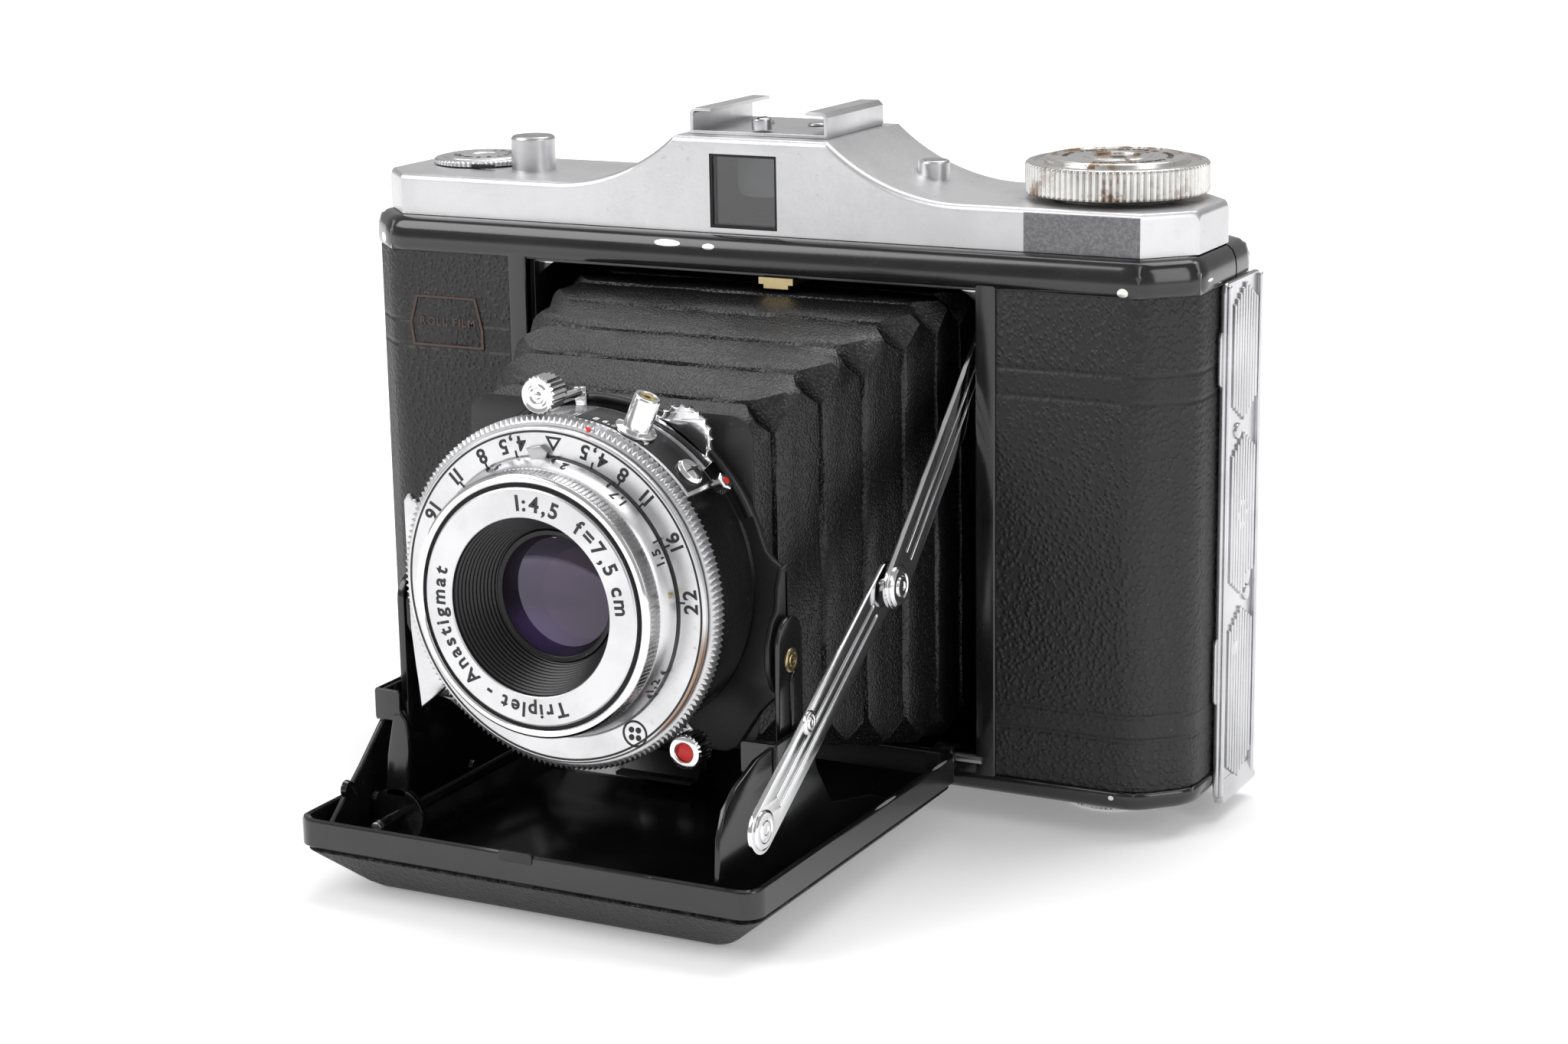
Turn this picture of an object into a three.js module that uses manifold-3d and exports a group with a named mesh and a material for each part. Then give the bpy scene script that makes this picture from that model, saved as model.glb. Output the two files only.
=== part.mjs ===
// Folding roll-film camera for 6 x 6 cm negatives, drop bed open, lens pulled out.
// Millimetres. +X is the viewer's right when facing the lens, the lens looks along -Y,
// +Z is up. z = 0 is the table: the camera stands on its two spool knobs and on the bed.
import * as THREE from "three";
import Module from "manifold-3d";
import { mergeVertices } from "three/addons/utils/BufferGeometryUtils.js";

const wasm = await Module();
wasm.setup();

// ---------------------------------------------------------------- driving dimensions
// Everything below is measured from the body's own corner: y = 0 at the front of the
// top cover, z = 0 under the body. SHIFT moves it to the frame of the whole object.
const SHIFT = [0, 19.3, 4.5];

const BODY_HALF = 68.5;
const BODY_FRONT = -2.35;
const BODY_TOP = 80;
const FRONT_FLAT_HALF = 61.8;
const CORNER_Y = 4.0;
const SEAM_Y = 17.5;
const BACK_Y = 30;
const REAR_FLAT_HALF = 62.5;
const REAR_CORNER_Y = 24.5;
const WALL = 1.5;
const OPENING_HALF = 37.3;
const OPENING_BOTTOM = 4.6;
const OPENING_TOP = 74.8;
const PANEL_INNER = 40.5;
const PANEL_BOTTOM = 3.1;
const LEATHER = 0.7;
const GATE_Y = 22.6;

const COVER_HALF = 67.4;
const COVER_FLAT_HALF = 61.1;
const COVER_CORNER_Y = 6.4;
const COVER_DEPTH = 25.5;
const COVER_END_TOP = 86.3;
const FINDER_TOP = 94.2;
const FINDER_HALF = 12.0;
const SHOULDER_RADIUS = 31.5;
const SHOULDER_END = 33.5;

const SPOOL_X = 51.6;
const SPOOL_Y = 15.5;
const SPOOL_FLANGE = 12.2;
const SPOOL_BOTTOM = 6.2;
const SPOOL_TOP = 72.1;
const KNOB_RADIUS = 13.2;
const KNOB_BOTTOM = 87.5;
const KNOB_TOP = 92.3;

const HINGE = [-69.3, 17.65];
const HINGE_RADIUS = 1.2;

const BED_HALF = 36.1;
const BED_FRONT = -69.8;
const BED_REAR = -5.2;
const BED_RIM_TOP = 6.8;
const BED_RIM_BOTTOM = 2.6;
const BED_FLOOR = -3.9;
const BED_PIVOT = [BODY_FRONT, 5.0];

const LENS_Z = 39.4;
const PLATE_REAR = -42.0;
const PLATE_FRONT = -43.2;
const PLATE_RADIUS = 25.0;
const LENS_FRONT = -64.0;

const ARM_FOOT = [-44.35, 16];
const ARM_HEAD = [-44.35, 33];
const STRUT_FOOT = [-64.4, 13.6];
const STRUT_KNEE = [-26.3, 37.1];
const STRUT_TOP = [6.25, 67.05];

// ---------------------------------------------------------------- solids
// A closed three.js geometry becomes a manifold: vertices welded, slivers on the lathe
// axis dropped, and the winding turned outward.
function solid(geometry) {
  const bare = geometry.clone();
  bare.deleteAttribute("normal");
  bare.deleteAttribute("uv");
  const welded = mergeVertices(bare, 1e-4);
  const points = welded.attributes.position.array;
  const index = welded.index.array;
  const kept = [];
  let volume = 0;
  for (let i = 0; i < index.length; i += 3) {
    const [a, b, c] = [index[i], index[i + 1], index[i + 2]];
    if (a === b || b === c || a === c) continue;
    kept.push(a, b, c);
    const [pa, pb, pc] = [a, b, c].map((k) => new THREE.Vector3().fromArray(points, 3 * k));
    volume += pa.dot(pb.cross(pc));
  }
  if (volume < 0) {
    for (let i = 0; i < kept.length; i += 3) {
      [kept[i + 1], kept[i + 2]] = [kept[i + 2], kept[i + 1]];
    }
  }
  return new wasm.Manifold(new wasm.Mesh({
    numProp: 3,
    vertProperties: new Float32Array(points),
    triVerts: new Uint32Array(kept),
  }));
}

const join = (...parts) => parts.reduce((a, b) => a.add(b));
const cut = (body, ...tools) => tools.reduce((a, b) => a.subtract(b), body);

function box(x0, x1, y0, y1, z0, z1) {
  const geometry = new THREE.BoxGeometry(x1 - x0, y1 - y0, z1 - z0);
  geometry.translate((x0 + x1) / 2, (y0 + y1) / 2, (z0 + z1) / 2);
  return solid(geometry);
}

function outline(points, holes = []) {
  const shape = new THREE.Shape(points.map(([u, v]) => new THREE.Vector2(u, v)));
  for (const hole of holes) {
    shape.holes.push(new THREE.Path(hole.map(([u, v]) => new THREE.Vector2(u, v))));
  }
  return shape;
}

function extruded(points, depth, holes) {
  return new THREE.ExtrudeGeometry(outline(points, holes), { depth, bevelEnabled: false });
}

// Plates: the outline is given in the two named axes, and the thickness runs along the third.
function plateX(yz, x0, x1, holes) {
  const geometry = extruded(yz, x1 - x0, holes);
  geometry.applyMatrix4(new THREE.Matrix4().makeBasis(
    new THREE.Vector3(0, 1, 0), new THREE.Vector3(0, 0, 1), new THREE.Vector3(1, 0, 0)));
  geometry.translate(x0, 0, 0);
  return solid(geometry);
}

function plateY(xz, y0, y1, holes) {
  const geometry = extruded(xz, y1 - y0, holes);
  geometry.applyMatrix4(new THREE.Matrix4().makeBasis(
    new THREE.Vector3(1, 0, 0), new THREE.Vector3(0, 0, 1), new THREE.Vector3(0, -1, 0)));
  geometry.translate(0, y1, 0);
  return solid(geometry);
}

function plateZ(xy, z0, z1, holes) {
  const geometry = extruded(xy, z1 - z0, holes);
  geometry.translate(0, 0, z0);
  return solid(geometry);
}

// A solid between two outlines with the same number of corners at two heights.
function loftZ(lower, z0, upper, z1) {
  const geometry = extruded(lower, 1);
  const position = geometry.attributes.position;
  for (let i = 0; i < position.count; i += 1) {
    const x = position.getX(i);
    const y = position.getY(i);
    if (position.getZ(i) > 0.5) {
      const k = lower.findIndex(([u, v]) => Math.hypot(u - x, v - y) < 1e-4);
      position.setXYZ(i, upper[k][0], upper[k][1], z1);
    } else {
      position.setZ(i, z0);
    }
  }
  return solid(geometry);
}

function rodX(y, z, radius, x0, x1, segments = 14) {
  const geometry = new THREE.CylinderGeometry(radius, radius, x1 - x0, segments);
  geometry.rotateZ(Math.PI / 2);
  geometry.translate((x0 + x1) / 2, y, z);
  return solid(geometry);
}

function rodY(x, z, radius, y0, y1, segments = 20) {
  const geometry = new THREE.CylinderGeometry(radius, radius, y1 - y0, segments);
  geometry.translate(x, (y0 + y1) / 2, z);
  return solid(geometry);
}

function rodZ(x, y, radius, z0, z1, segments = 24) {
  const geometry = new THREE.CylinderGeometry(radius, radius, z1 - z0, segments);
  geometry.rotateX(Math.PI / 2);
  geometry.translate(x, y, (z0 + z1) / 2);
  return solid(geometry);
}

// Turned parts: [radius, position] pairs, closed back to the first one.
function turnedY(profile, x, z, segments = 48) {
  const loop = [...profile, profile[0]].map(([r, y]) => new THREE.Vector2(r, y));
  const geometry = new THREE.LatheGeometry(loop, segments);
  geometry.translate(x, 0, z);
  return solid(geometry);
}

function turnedZ(profile, x, y, segments = 48) {
  const loop = [...profile, profile[0]].map(([r, z]) => new THREE.Vector2(r, z));
  const geometry = new THREE.LatheGeometry(loop, segments);
  geometry.rotateX(Math.PI / 2);
  geometry.translate(x, y, 0);
  return solid(geometry);
}

// ---------------------------------------------------------------- outlines
function arc(cx, cy, radius, from, to, steps) {
  const points = [];
  for (let i = 0; i <= steps; i += 1) {
    const a = THREE.MathUtils.degToRad(from + ((to - from) * i) / steps);
    points.push([cx + radius * Math.cos(a), cy + radius * Math.sin(a)]);
  }
  return points;
}

const circle = (cx, cy, radius, n = 20) => arc(cx, cy, radius, 0, 360 - 360 / n, n - 1);

function rectangle(x0, x1, y0, y1, r = 0, n = 3) {
  if (r === 0) return [[x0, y0], [x1, y0], [x1, y1], [x0, y1]];
  return [
    ...arc(x0 + r, y0 + r, r, 180, 270, n),
    ...arc(x1 - r, y0 + r, r, 270, 360, n),
    ...arc(x1 - r, y1 - r, r, 0, 90, n),
    ...arc(x0 + r, y1 - r, r, 90, 180, n),
  ];
}

// A flat link with round ends between two points.
function link([y0, z0], [y1, z1], radius, n = 6) {
  const a = THREE.MathUtils.radToDeg(Math.atan2(z1 - z0, y1 - y0));
  return [...arc(y0, z0, radius, a + 90, a + 270, n), ...arc(y1, z1, radius, a - 90, a + 90, n)];
}

// Moves every side of a convex outline inward.
function inset(points, distance) {
  const n = points.length;
  const area = points.reduce((sum, [x, y], i) => {
    const [u, v] = points[(i + 1) % n];
    return sum + x * v - u * y;
  }, 0);
  const side = Math.sign(area);
  return points.map((point, i) => {
    const before = points[(i + n - 1) % n];
    const after = points[(i + 1) % n];
    const d1 = new THREE.Vector2(point[0] - before[0], point[1] - before[1]).normalize();
    const d2 = new THREE.Vector2(after[0] - point[0], after[1] - point[1]).normalize();
    const n1 = new THREE.Vector2(-d1.y, d1.x).multiplyScalar(side);
    const n2 = new THREE.Vector2(-d2.y, d2.x).multiplyScalar(side);
    const m = n1.clone().add(n2);
    const k = distance / (1 + n1.dot(n2));
    return [point[0] + m.x * k, point[1] + m.y * k];
  });
}

const mirror = (points) => points.map(([x, y]) => [-x, y]).reverse();

// ---------------------------------------------------------------- materials
function material(color, roughness, metalness, extra = {}) {
  return new THREE.MeshStandardMaterial({ color, roughness, metalness, ...extra });
}

const enamel = material(0x0c0c0d, 0.22, 0.0);
const satinBlack = material(0x141414, 0.45, 0.2);
const leatherette = material(0x17171a, 0.7, 0.0);
const bellowsLeather = material(0x101012, 0.75, 0.0);
const satinChrome = material(0xc9cacc, 0.38, 1.0);
const brightChrome = material(0xdedfe0, 0.15, 1.0);
const steel = material(0x9a9b9c, 0.35, 1.0);
const brass = material(0xb09a62, 0.35, 1.0);
const anodised = material(0x1a1a1b, 0.4, 0.5);
const glass = material(0x6a5f86, 0.05, 0.0, { transparent: true, opacity: 0.5 });
const clearGlass = material(0xdfe6ea, 0.05, 0.0, { transparent: true, opacity: 0.4 });
const redGlass = material(0x9c1410, 0.1, 0.0, { transparent: true, opacity: 0.7 });
const plastic = material(0x1c1c1c, 0.5, 0.0);

const camera = new THREE.Group();
camera.name = "folding_camera";
camera.position.fromArray(SHIFT);

function add(name, shape, look) {
  const { vertProperties, triVerts, numProp } = shape.getMesh();
  const count = vertProperties.length / numProp;
  const points = new Float32Array(count * 3);
  for (let i = 0; i < count; i += 1) {
    for (let k = 0; k < 3; k += 1) points[3 * i + k] = vertProperties[i * numProp + k];
  }
  const geometry = new THREE.BufferGeometry();
  geometry.setAttribute("position", new THREE.BufferAttribute(points, 3));
  geometry.setIndex(new THREE.BufferAttribute(new Uint32Array(triVerts), 1));
  geometry.computeVertexNormals();
  const mesh = new THREE.Mesh(geometry, look);
  mesh.name = name;
  camera.add(mesh);
}

// ---------------------------------------------------------------- body shell
const frontHalf = [
  [-BODY_HALF, SEAM_Y], [-BODY_HALF, CORNER_Y], [-FRONT_FLAT_HALF, BODY_FRONT],
  [FRONT_FLAT_HALF, BODY_FRONT], [BODY_HALF, CORNER_Y], [BODY_HALF, SEAM_Y],
];
const shellOutline = [
  [-BODY_HALF, CORNER_Y], [-FRONT_FLAT_HALF, BODY_FRONT],
  [FRONT_FLAT_HALF, BODY_FRONT], [BODY_HALF, CORNER_Y],
  [BODY_HALF, 40], [-BODY_HALF, 40],
];
const shellInner = inset(shellOutline, WALL);
const frontBlock = box(-80, 80, -10, SEAM_Y, -1, 90);
const rounded = (points, z0, z1) => join(
  loftZ(inset(points, 1.8), z0, inset(points, 0.46), z0 + 0.72),
  loftZ(inset(points, 0.5), z0 + 0.7, points, z0 + 2.2),
  plateZ(points, z0 + 2.15, z1 - 2.15),
  loftZ(points, z1 - 2.2, inset(points, 0.5), z1 - 0.7),
  loftZ(inset(points, 0.46), z1 - 0.72, inset(points, 1.8), z1),
);

// The leather panel wraps the front, the bevelled corner and the side.
function panel(sign, grow) {
  const ring = cut(
    plateZ(shellOutline, PANEL_BOTTOM - grow, OPENING_TOP + grow),
    plateZ(inset(shellOutline, LEATHER + grow), 0, 90),
  );
  const from = PANEL_INNER - grow;
  const zone = sign > 0
    ? box(from, 80, -10, SEAM_Y - 0.6 + grow, -1, 90)
    : box(-80, -from, -10, SEAM_Y - 0.6 + grow, -1, 90);
  return ring.intersect(zone);
}

const chamber = (sign) => {
  const zone = sign > 0 ? box(38.8, 80, -10, 50, 2, 78) : box(-80, -38.8, -10, 50, 2, 78);
  return plateZ(shellInner, 2, 78).intersect(zone);
};

const knuckle = (z0, z1, radius) => rodZ(HINGE[0], HINGE[1], radius, z0, z1, 20);

let shell = rounded(shellOutline, 0, BODY_TOP).intersect(frontBlock);
shell = cut(shell, chamber(1), chamber(-1));
shell = cut(
  shell,
  box(-OPENING_HALF, OPENING_HALF, -10, 40, OPENING_BOTTOM, OPENING_TOP),
  box(-OPENING_HALF, OPENING_HALF, 0, 40, 2, 78),
);
shell = join(
  shell,
  box(OPENING_HALF, 38.8, 0, SEAM_Y, 1.5, 78.5),
  box(-38.8, -OPENING_HALF, 0, SEAM_Y, 1.5, 78.5),
  box(OPENING_HALF, 38.8, 5, GATE_Y, 2.3, 77.7),
  box(-38.8, -OPENING_HALF, 5, GATE_Y, 2.3, 77.7),
  rodZ(-SPOOL_X, SPOOL_Y, 2.0, 70.5, 79),
  knuckle(4, 20, HINGE_RADIUS),
  knuckle(60, 76, HINGE_RADIUS),
  rodX(STRUT_TOP[0], STRUT_TOP[1], 2.2, 36.7, 37.6),
  box(OPENING_HALF - 0.1, OPENING_HALF + 1, BED_PIVOT[0] + 0.4, 1, 2, 4.6),
);
shell = cut(
  shell,
  panel(1, 0.06),
  panel(-1, 0.06),
  knuckle(3, 77, 0.85),
  rodZ(SPOOL_X, SPOOL_Y, 2.9, 77, 90),
  rodZ(SPOOL_X, SPOOL_Y, 2.5, -1, 4),
  rodZ(-SPOOL_X, SPOOL_Y, 2.5, -1, 4),
  rodZ(0, 10, 6.4, -1, 4),
  box(22, 25, 13, 18, 77, 81),
  rodX(BED_PIVOT[0], BED_PIVOT[1], 1.0, -39.5, 39.5, 16),
  knuckle(20.1, 59.9, 1.5),
  ...[-34, -8, 5, 31].map((x) => rodX(BED_PIVOT[0], BED_PIVOT[1], 2.3, x - 0.4, x + 3.4, 20)),
);
add("body_shell", shell, enamel);
add("leather_right", panel(1, 0), leatherette);
add("leather_left", cut(panel(-1, 0), knuckle(3, 77, 1.5)), leatherette);

const bush = [[3.2, -0.9], [6.1, -0.9], [6.1, 2.6], [3.2, 2.6]];
add("tripod_bush", turnedZ(bush, 0, 10, 20), steel);

// ---------------------------------------------------------------- top cover
const coverOutline = [
  [-COVER_HALF, COVER_CORNER_Y], [-COVER_FLAT_HALF, 0], [COVER_FLAT_HALF, 0],
  [COVER_HALF, COVER_CORNER_Y], [COVER_HALF, 18.5], [COVER_FLAT_HALF, COVER_DEPTH],
  [-COVER_FLAT_HALF, COVER_DEPTH], [-COVER_HALF, 18.5],
];
function coverFront(drop) {
  const top = COVER_END_TOP - drop;
  const reach = SHOULDER_RADIUS + drop;
  const centre = COVER_END_TOP + SHOULDER_RADIUS;
  const peak = FINDER_TOP - drop;
  const sweep = THREE.MathUtils.radToDeg(Math.acos((centre - peak) / reach));
  const right = arc(SHOULDER_END, centre, reach, -90, -90 - sweep, 10);
  const left = arc(-SHOULDER_END, centre, reach, -90 + sweep, -90, 10);
  return [[-80, 70], [80, 70], [80, top], ...right, ...left, [-80, top]];
}
const coverBlock = join(
  plateZ(coverOutline, 80.15, 85.45),
  loftZ(coverOutline, 85.4, inset(coverOutline, 0.9), 86.35),
  plateZ(inset(coverOutline, 0.95), 86.2, 96),
);
const coverBody = coverBlock.intersect(plateY(coverFront(0), -1, 30));
const coverHollow = plateZ(inset(coverOutline, 1.0), 79, 96).intersect(plateY(coverFront(1.0), -1, 30));
const cover = cut(
  coverBody,
  coverHollow,
  box(-6.5, 4.6, -1, 2, 80.85, 91.8),
  box(-5.0, 3.1, 24, 27, 82.4, 90.4),
  rodZ(SPOOL_X, SPOOL_Y, 2.9, 80, 90),
  rodZ(-44.6, 12.6, 3.7, 84, 90),
  rodZ(23, 15, 2.6, 84, 92),
  rodZ(-56.2, 16.5, 1.5, 84, 90),
);
add("top_cover", cover, satinChrome);

const tube = cut(box(-7.4, 5.5, 1.6, 24.2, 80.3, 92.6), box(-6.6, 4.7, 1.0, 23.2, 81.0, 91.9));
const barrel = cut(tube, box(-4.6, 2.7, 20, 25, 82.8, 90.0));
add("finder_barrel", barrel, satinBlack);
add("finder_front_glass", box(-6.4, 4.5, 0.35, 1.35, 80.95, 91.7), clearGlass);
add("finder_eyepiece", box(-4.9, 3.0, 24.35, 25.3, 82.5, 90.3), clearGlass);

const shoeProfile = [
  [-10.8, 94.25], [10.8, 94.25], [11.3, 94.9], [11.3, 97.3], [10.6, 98.0], [7.8, 98.0],
  [7.8, 97.2], [10.4, 97.2], [10.4, 95.0], [-10.4, 95.0], [-10.4, 97.2], [-7.8, 97.2],
  [-7.8, 98.0], [-10.6, 98.0], [-11.3, 97.3], [-11.3, 94.9],
];
add("accessory_shoe", plateY(shoeProfile, 3.2, 22.2), brightChrome);
const pin = [[0.01, 95.05], [1.5, 95.05], [1.5, 96.5], [1.2, 96.8], [0.01, 96.8]];
add("shoe_stop_pin", turnedZ(pin.map(([r, z]) => [r < 0.1 ? 0 : r, z]), 0, 4.6, 20), steel);

// ---------------------------------------------------------------- top controls
const knobBody = join(
  turnedZ([
    [0, 72.4], [2.5, 72.4], [2.5, 87.2], [12.2, 87.5], [13.2, 88.2], [13.2, 91.2],
    [12.4, 91.9], [10.4, 91.9], [10.2, 92.3], [0, 92.3],
  ], SPOOL_X, SPOOL_Y, 40),
  box(SPOOL_X - 2.4, SPOOL_X + 2.4, SPOOL_Y - 0.6, SPOOL_Y + 0.6, 69.6, 72.8),
);
add("winding_knob", knobBody, satinChrome);
add("reminder_disc", turnedZ([
  [0, 82.6], [1.2, 82.6], [1.2, 86.45], [8.0, 86.45], [8.0, 87.2], [7.6, 87.6], [0, 87.6],
], -56.2, 16.5, 28), satinChrome);
add("release_button", turnedZ([
  [0, 82.8], [4.3, 82.8], [4.3, 83.6], [3.4, 83.6], [3.4, 91.1], [3.0, 91.5], [0, 91.5],
], -44.6, 12.6, 20), brightChrome);
add("door_button", turnedZ([
  [0, 82.8], [3.1, 82.8], [3.1, 83.6], [2.3, 83.6], [2.3, 90.1], [2.0, 90.4], [0, 90.4],
], 23, 15, 18), brightChrome);
const catchPlate = join(
  box(2.4, 8.0, -1.9, 8, 73.3, 74.3),
  box(3.2, 7.2, -1.9, -1.1, 72.7, 73.5),
);
add("door_catch", catchPlate, brass);

// ---------------------------------------------------------------- inside the body
const gatePlate = plateY(rectangle(-36.9, 36.9, 3.2, 76.8), 22.7, 23.8, [rectangle(-28, 28, 12, 68)]);
const rail = (x) => box(x, x + 1.6, 23.6, 24.6, 6, 74);
const lug = (x, z) => cut(box(x - 2, x + 2, 23.6, 28.0, z, z + 1), rodZ(x, 26.2, 1.0, z - 1, z + 2, 16));
const gate = join(
  gatePlate, rail(-31), rail(29.4),
  lug(-34.6, 4), lug(-34.6, 75), lug(34.6, 4), lug(34.6, 75),
);
add("film_gate", gate, satinBlack);
const rollerProfile = [[0, 4.2], [0.7, 4.2], [0.7, 5.4], [1.7, 5.4], [1.7, 74.6], [0.7, 74.6], [0.7, 75.8], [0, 75.8]];
add("film_roller_left", turnedZ(rollerProfile, -34.6, 26.2, 12), steel);
add("film_roller_right", turnedZ(rollerProfile, 34.6, 26.2, 12), steel);

// Film spools: two flanges on a core, a blade slot on top and a peg socket below.
function spool(x) {
  const body = turnedZ([
    [0, SPOOL_BOTTOM], [SPOOL_FLANGE, SPOOL_BOTTOM], [SPOOL_FLANGE, SPOOL_BOTTOM + 1.2],
    [6, SPOOL_BOTTOM + 1.2], [6, SPOOL_TOP - 1.2], [SPOOL_FLANGE, SPOOL_TOP - 1.2],
    [SPOOL_FLANGE, SPOOL_TOP], [0, SPOOL_TOP],
  ], x, SPOOL_Y, 28);
  return cut(body, rodZ(x, SPOOL_Y, 2.6, 0, 10.2));
}
const driven = cut(spool(SPOOL_X), box(SPOOL_X - 3, SPOOL_X + 3, SPOOL_Y - 1, SPOOL_Y + 1, 69, 80));
const supply = cut(spool(-SPOOL_X), rodZ(-SPOOL_X, SPOOL_Y, 2.6, 69, 80));
add("takeup_spool", driven, plastic);
add("supply_spool", supply, plastic);
const pegProfile = [
  [0, -4.5], [6.4, -4.5], [6.8, -4.1], [6.8, -0.9], [6.4, -0.5], [2.1, -0.5], [2.1, 9.6], [0, 9.6],
];
add("spool_peg_right", turnedZ(pegProfile, SPOOL_X, SPOOL_Y, 24), brightChrome);
add("spool_peg_left", turnedZ(pegProfile, -SPOOL_X, SPOOL_Y, 24), brightChrome);

// Bellows: a square pleated funnel, turned with four sides and stretched upward.
const FOLDS = 7;
const BELLOWS_REAR = 22.4;
const BELLOWS_FRONT = -41.7;
function bellowsProfile() {
  const outer = [];
  const inner = [];
  const stations = 2 * FOLDS;
  for (let i = 0; i <= stations; i += 1) {
    const t = i / stations;
    const y = BELLOWS_REAR + (BELLOWS_FRONT - BELLOWS_REAR) * t;
    const ridge = 31.0 + (22.4 - 31.0) * t;
    const depth = i % 2 === 0 ? 0 : 3.0;
    outer.push([(ridge - depth) * Math.SQRT2, y]);
    inner.push([(ridge - depth - 1.3) * Math.SQRT2, y]);
  }
  return [...outer, ...inner.reverse()];
}
const bellowsLoop = bellowsProfile();
const bellowsGeometry = new THREE.LatheGeometry(
  [...bellowsLoop, bellowsLoop[0]].map(([r, y]) => new THREE.Vector2(r, y)), 4);
bellowsGeometry.rotateY(Math.PI / 4);
bellowsGeometry.scale(1, 1, 1.06);
bellowsGeometry.translate(0, 0, LENS_Z);
add("bellows", solid(bellowsGeometry), bellowsLeather);

// ---------------------------------------------------------------- back door
const doorOutline = [
  [BODY_HALF, 0], [BODY_HALF, REAR_CORNER_Y], [REAR_FLAT_HALF, BACK_Y],
  [-REAR_FLAT_HALF, BACK_Y], [-BODY_HALF, REAR_CORNER_Y], [-BODY_HALF, 0],
];
const rearBlock = box(-80, 80, SEAM_Y + 0.3, 50, -1, 90);
const doorSolid = rounded(doorOutline, 0, BODY_TOP).intersect(rearBlock);
const WINDOW_X = 18;
const WINDOW_Z = 40;
const door = cut(
  join(
    cut(doorSolid, plateZ(inset(doorOutline, WALL), 2, 78)),
    knuckle(20.4, 59.6, HINGE_RADIUS),
  ),
  knuckle(3.7, 20.2, 1.6),
  knuckle(59.8, 76.3, 1.6),
  knuckle(3, 77, 0.85),
  rodZ(SPOOL_X, SPOOL_Y, 2.9, 77, 81),
  rodZ(SPOOL_X, SPOOL_Y, 2.5, -1, 4),
  rodZ(-SPOOL_X, SPOOL_Y, 2.5, -1, 4),
  rodY(WINDOW_X, WINDOW_Z, 5.3, 25, 35, 28),
);
add("back_door", cut(door, box(69.2, 80, 0, 40, 0, 90)), enamel);
add("back_hinge_pin", knuckle(3.6, 76.4, 0.6), steel);
const backPanel = plateY(rectangle(-59.5, 59.5, 4.5, 75.5, 2), 30.05, 30.6, [circle(WINDOW_X, WINDOW_Z, 8.2, 28)]);
const sliderSlot = box(WINDOW_X - 10, WINDOW_X + 20, 29, 32, WINDOW_Z - 7.4, WINDOW_Z + 7.4);
add("back_leather", cut(backPanel, sliderSlot), leatherette);
add("red_window", turnedY([[0, 28.9], [5.1, 28.9], [5.1, 29.8], [0, 29.8]], WINDOW_X, WINDOW_Z, 28), redGlass);
const slider = join(
  plateY(rectangle(WINDOW_X - 6.2, WINDOW_X + 6.2, WINDOW_Z - 6.4, WINDOW_Z + 6.4, 1), 30.15, 30.7),
  box(WINDOW_X - 0.8, WINDOW_X + 0.8, 30.6, 31.2, WINDOW_Z - 4, WINDOW_Z + 4),
);
add("window_slider", slider, satinChrome);
add("pressure_plate", plateY(rectangle(-31, 31, 9, 71, 2), 24.9, 25.8), satinBlack);
const spring = [
  [-26, 28.3], [-22, 28.3], [-10, 26.6], [10, 26.6], [22, 28.3], [26, 28.3],
  [26, 28.0], [22, 28.0], [10, 26.2], [-10, 26.2], [-22, 28.0], [-26, 28.0],
];
add("pressure_spring", plateZ(spring.map(([x, y]) => [x, y]), 34, 46), steel);

const strip = join(
    plateX(rectangle(12.6, 26.2, -1.2, 75.4, 1.2), 68.9, 70.5),
    box(66.2, 70.5, 24.4, 26.2, -1.8, -0.4),
    box(68.9, 70.5, 20.4, 26.2, -1.8, 1.0),
);
add("latch_strip", strip, brightChrome);

// ---------------------------------------------------------------- drop bed
const bedOutline = rectangle(-BED_HALF, BED_HALF, BED_FRONT, BED_REAR, 2.4);
const bedFoot = rectangle(-27, 27, -62, -12, 1.6);
const bedFloor = (drop) => join(
  loftZ(inset(bedFoot, -0.1 * drop), BED_FLOOR - drop, bedOutline, BED_RIM_BOTTOM - drop),
);
const bedHollow = join(
  loftZ(inset(bedFoot, 0.2), BED_FLOOR + 0.8, inset(bedOutline, 1.2), BED_RIM_BOTTOM + 0.3),
  plateZ(inset(bedOutline, 1.2), BED_RIM_BOTTOM + 0.25, 9),
);
let bed = join(
  bedFloor(0),
  plateZ(bedOutline, BED_RIM_BOTTOM - 0.05, BED_RIM_TOP),
);
bed = cut(bed, bedHollow);
const bedLug = (x) => join(
  box(x, x + 3, -6.2, -2.4, 3.2, 6.6),
  rodX(BED_PIVOT[0], BED_PIVOT[1], 1.9, x, x + 3, 16),
);
bed = join(bed, bedLug(-34), bedLug(-8), bedLug(5), bedLug(31));
bed = cut(
  bed,
  rodX(BED_PIVOT[0], BED_PIVOT[1], 1.0, -40, 40, 16),
  box(-2.4, 2.4, BED_FRONT - 1, BED_FRONT + 1.6, 5.6, 8),
);
add("bed_tray", bed, enamel);
const bedSkin = cut(
  loftZ(inset(bedFoot, -0.1), BED_FLOOR - 0.6, inset(bedOutline, 0.7), BED_RIM_BOTTOM - 0.65),
  loftZ(bedFoot, BED_FLOOR - 0.05, bedOutline, BED_RIM_BOTTOM - 0.05),
  plateZ(rectangle(-40, 40, -72, 0), 1.7, 5),
);
add("bed_leather", bedSkin, leatherette);
add("bed_hinge_pin", rodX(BED_PIVOT[0], BED_PIVOT[1], 0.7, -38.4, 38.4, 16), steel);

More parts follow.
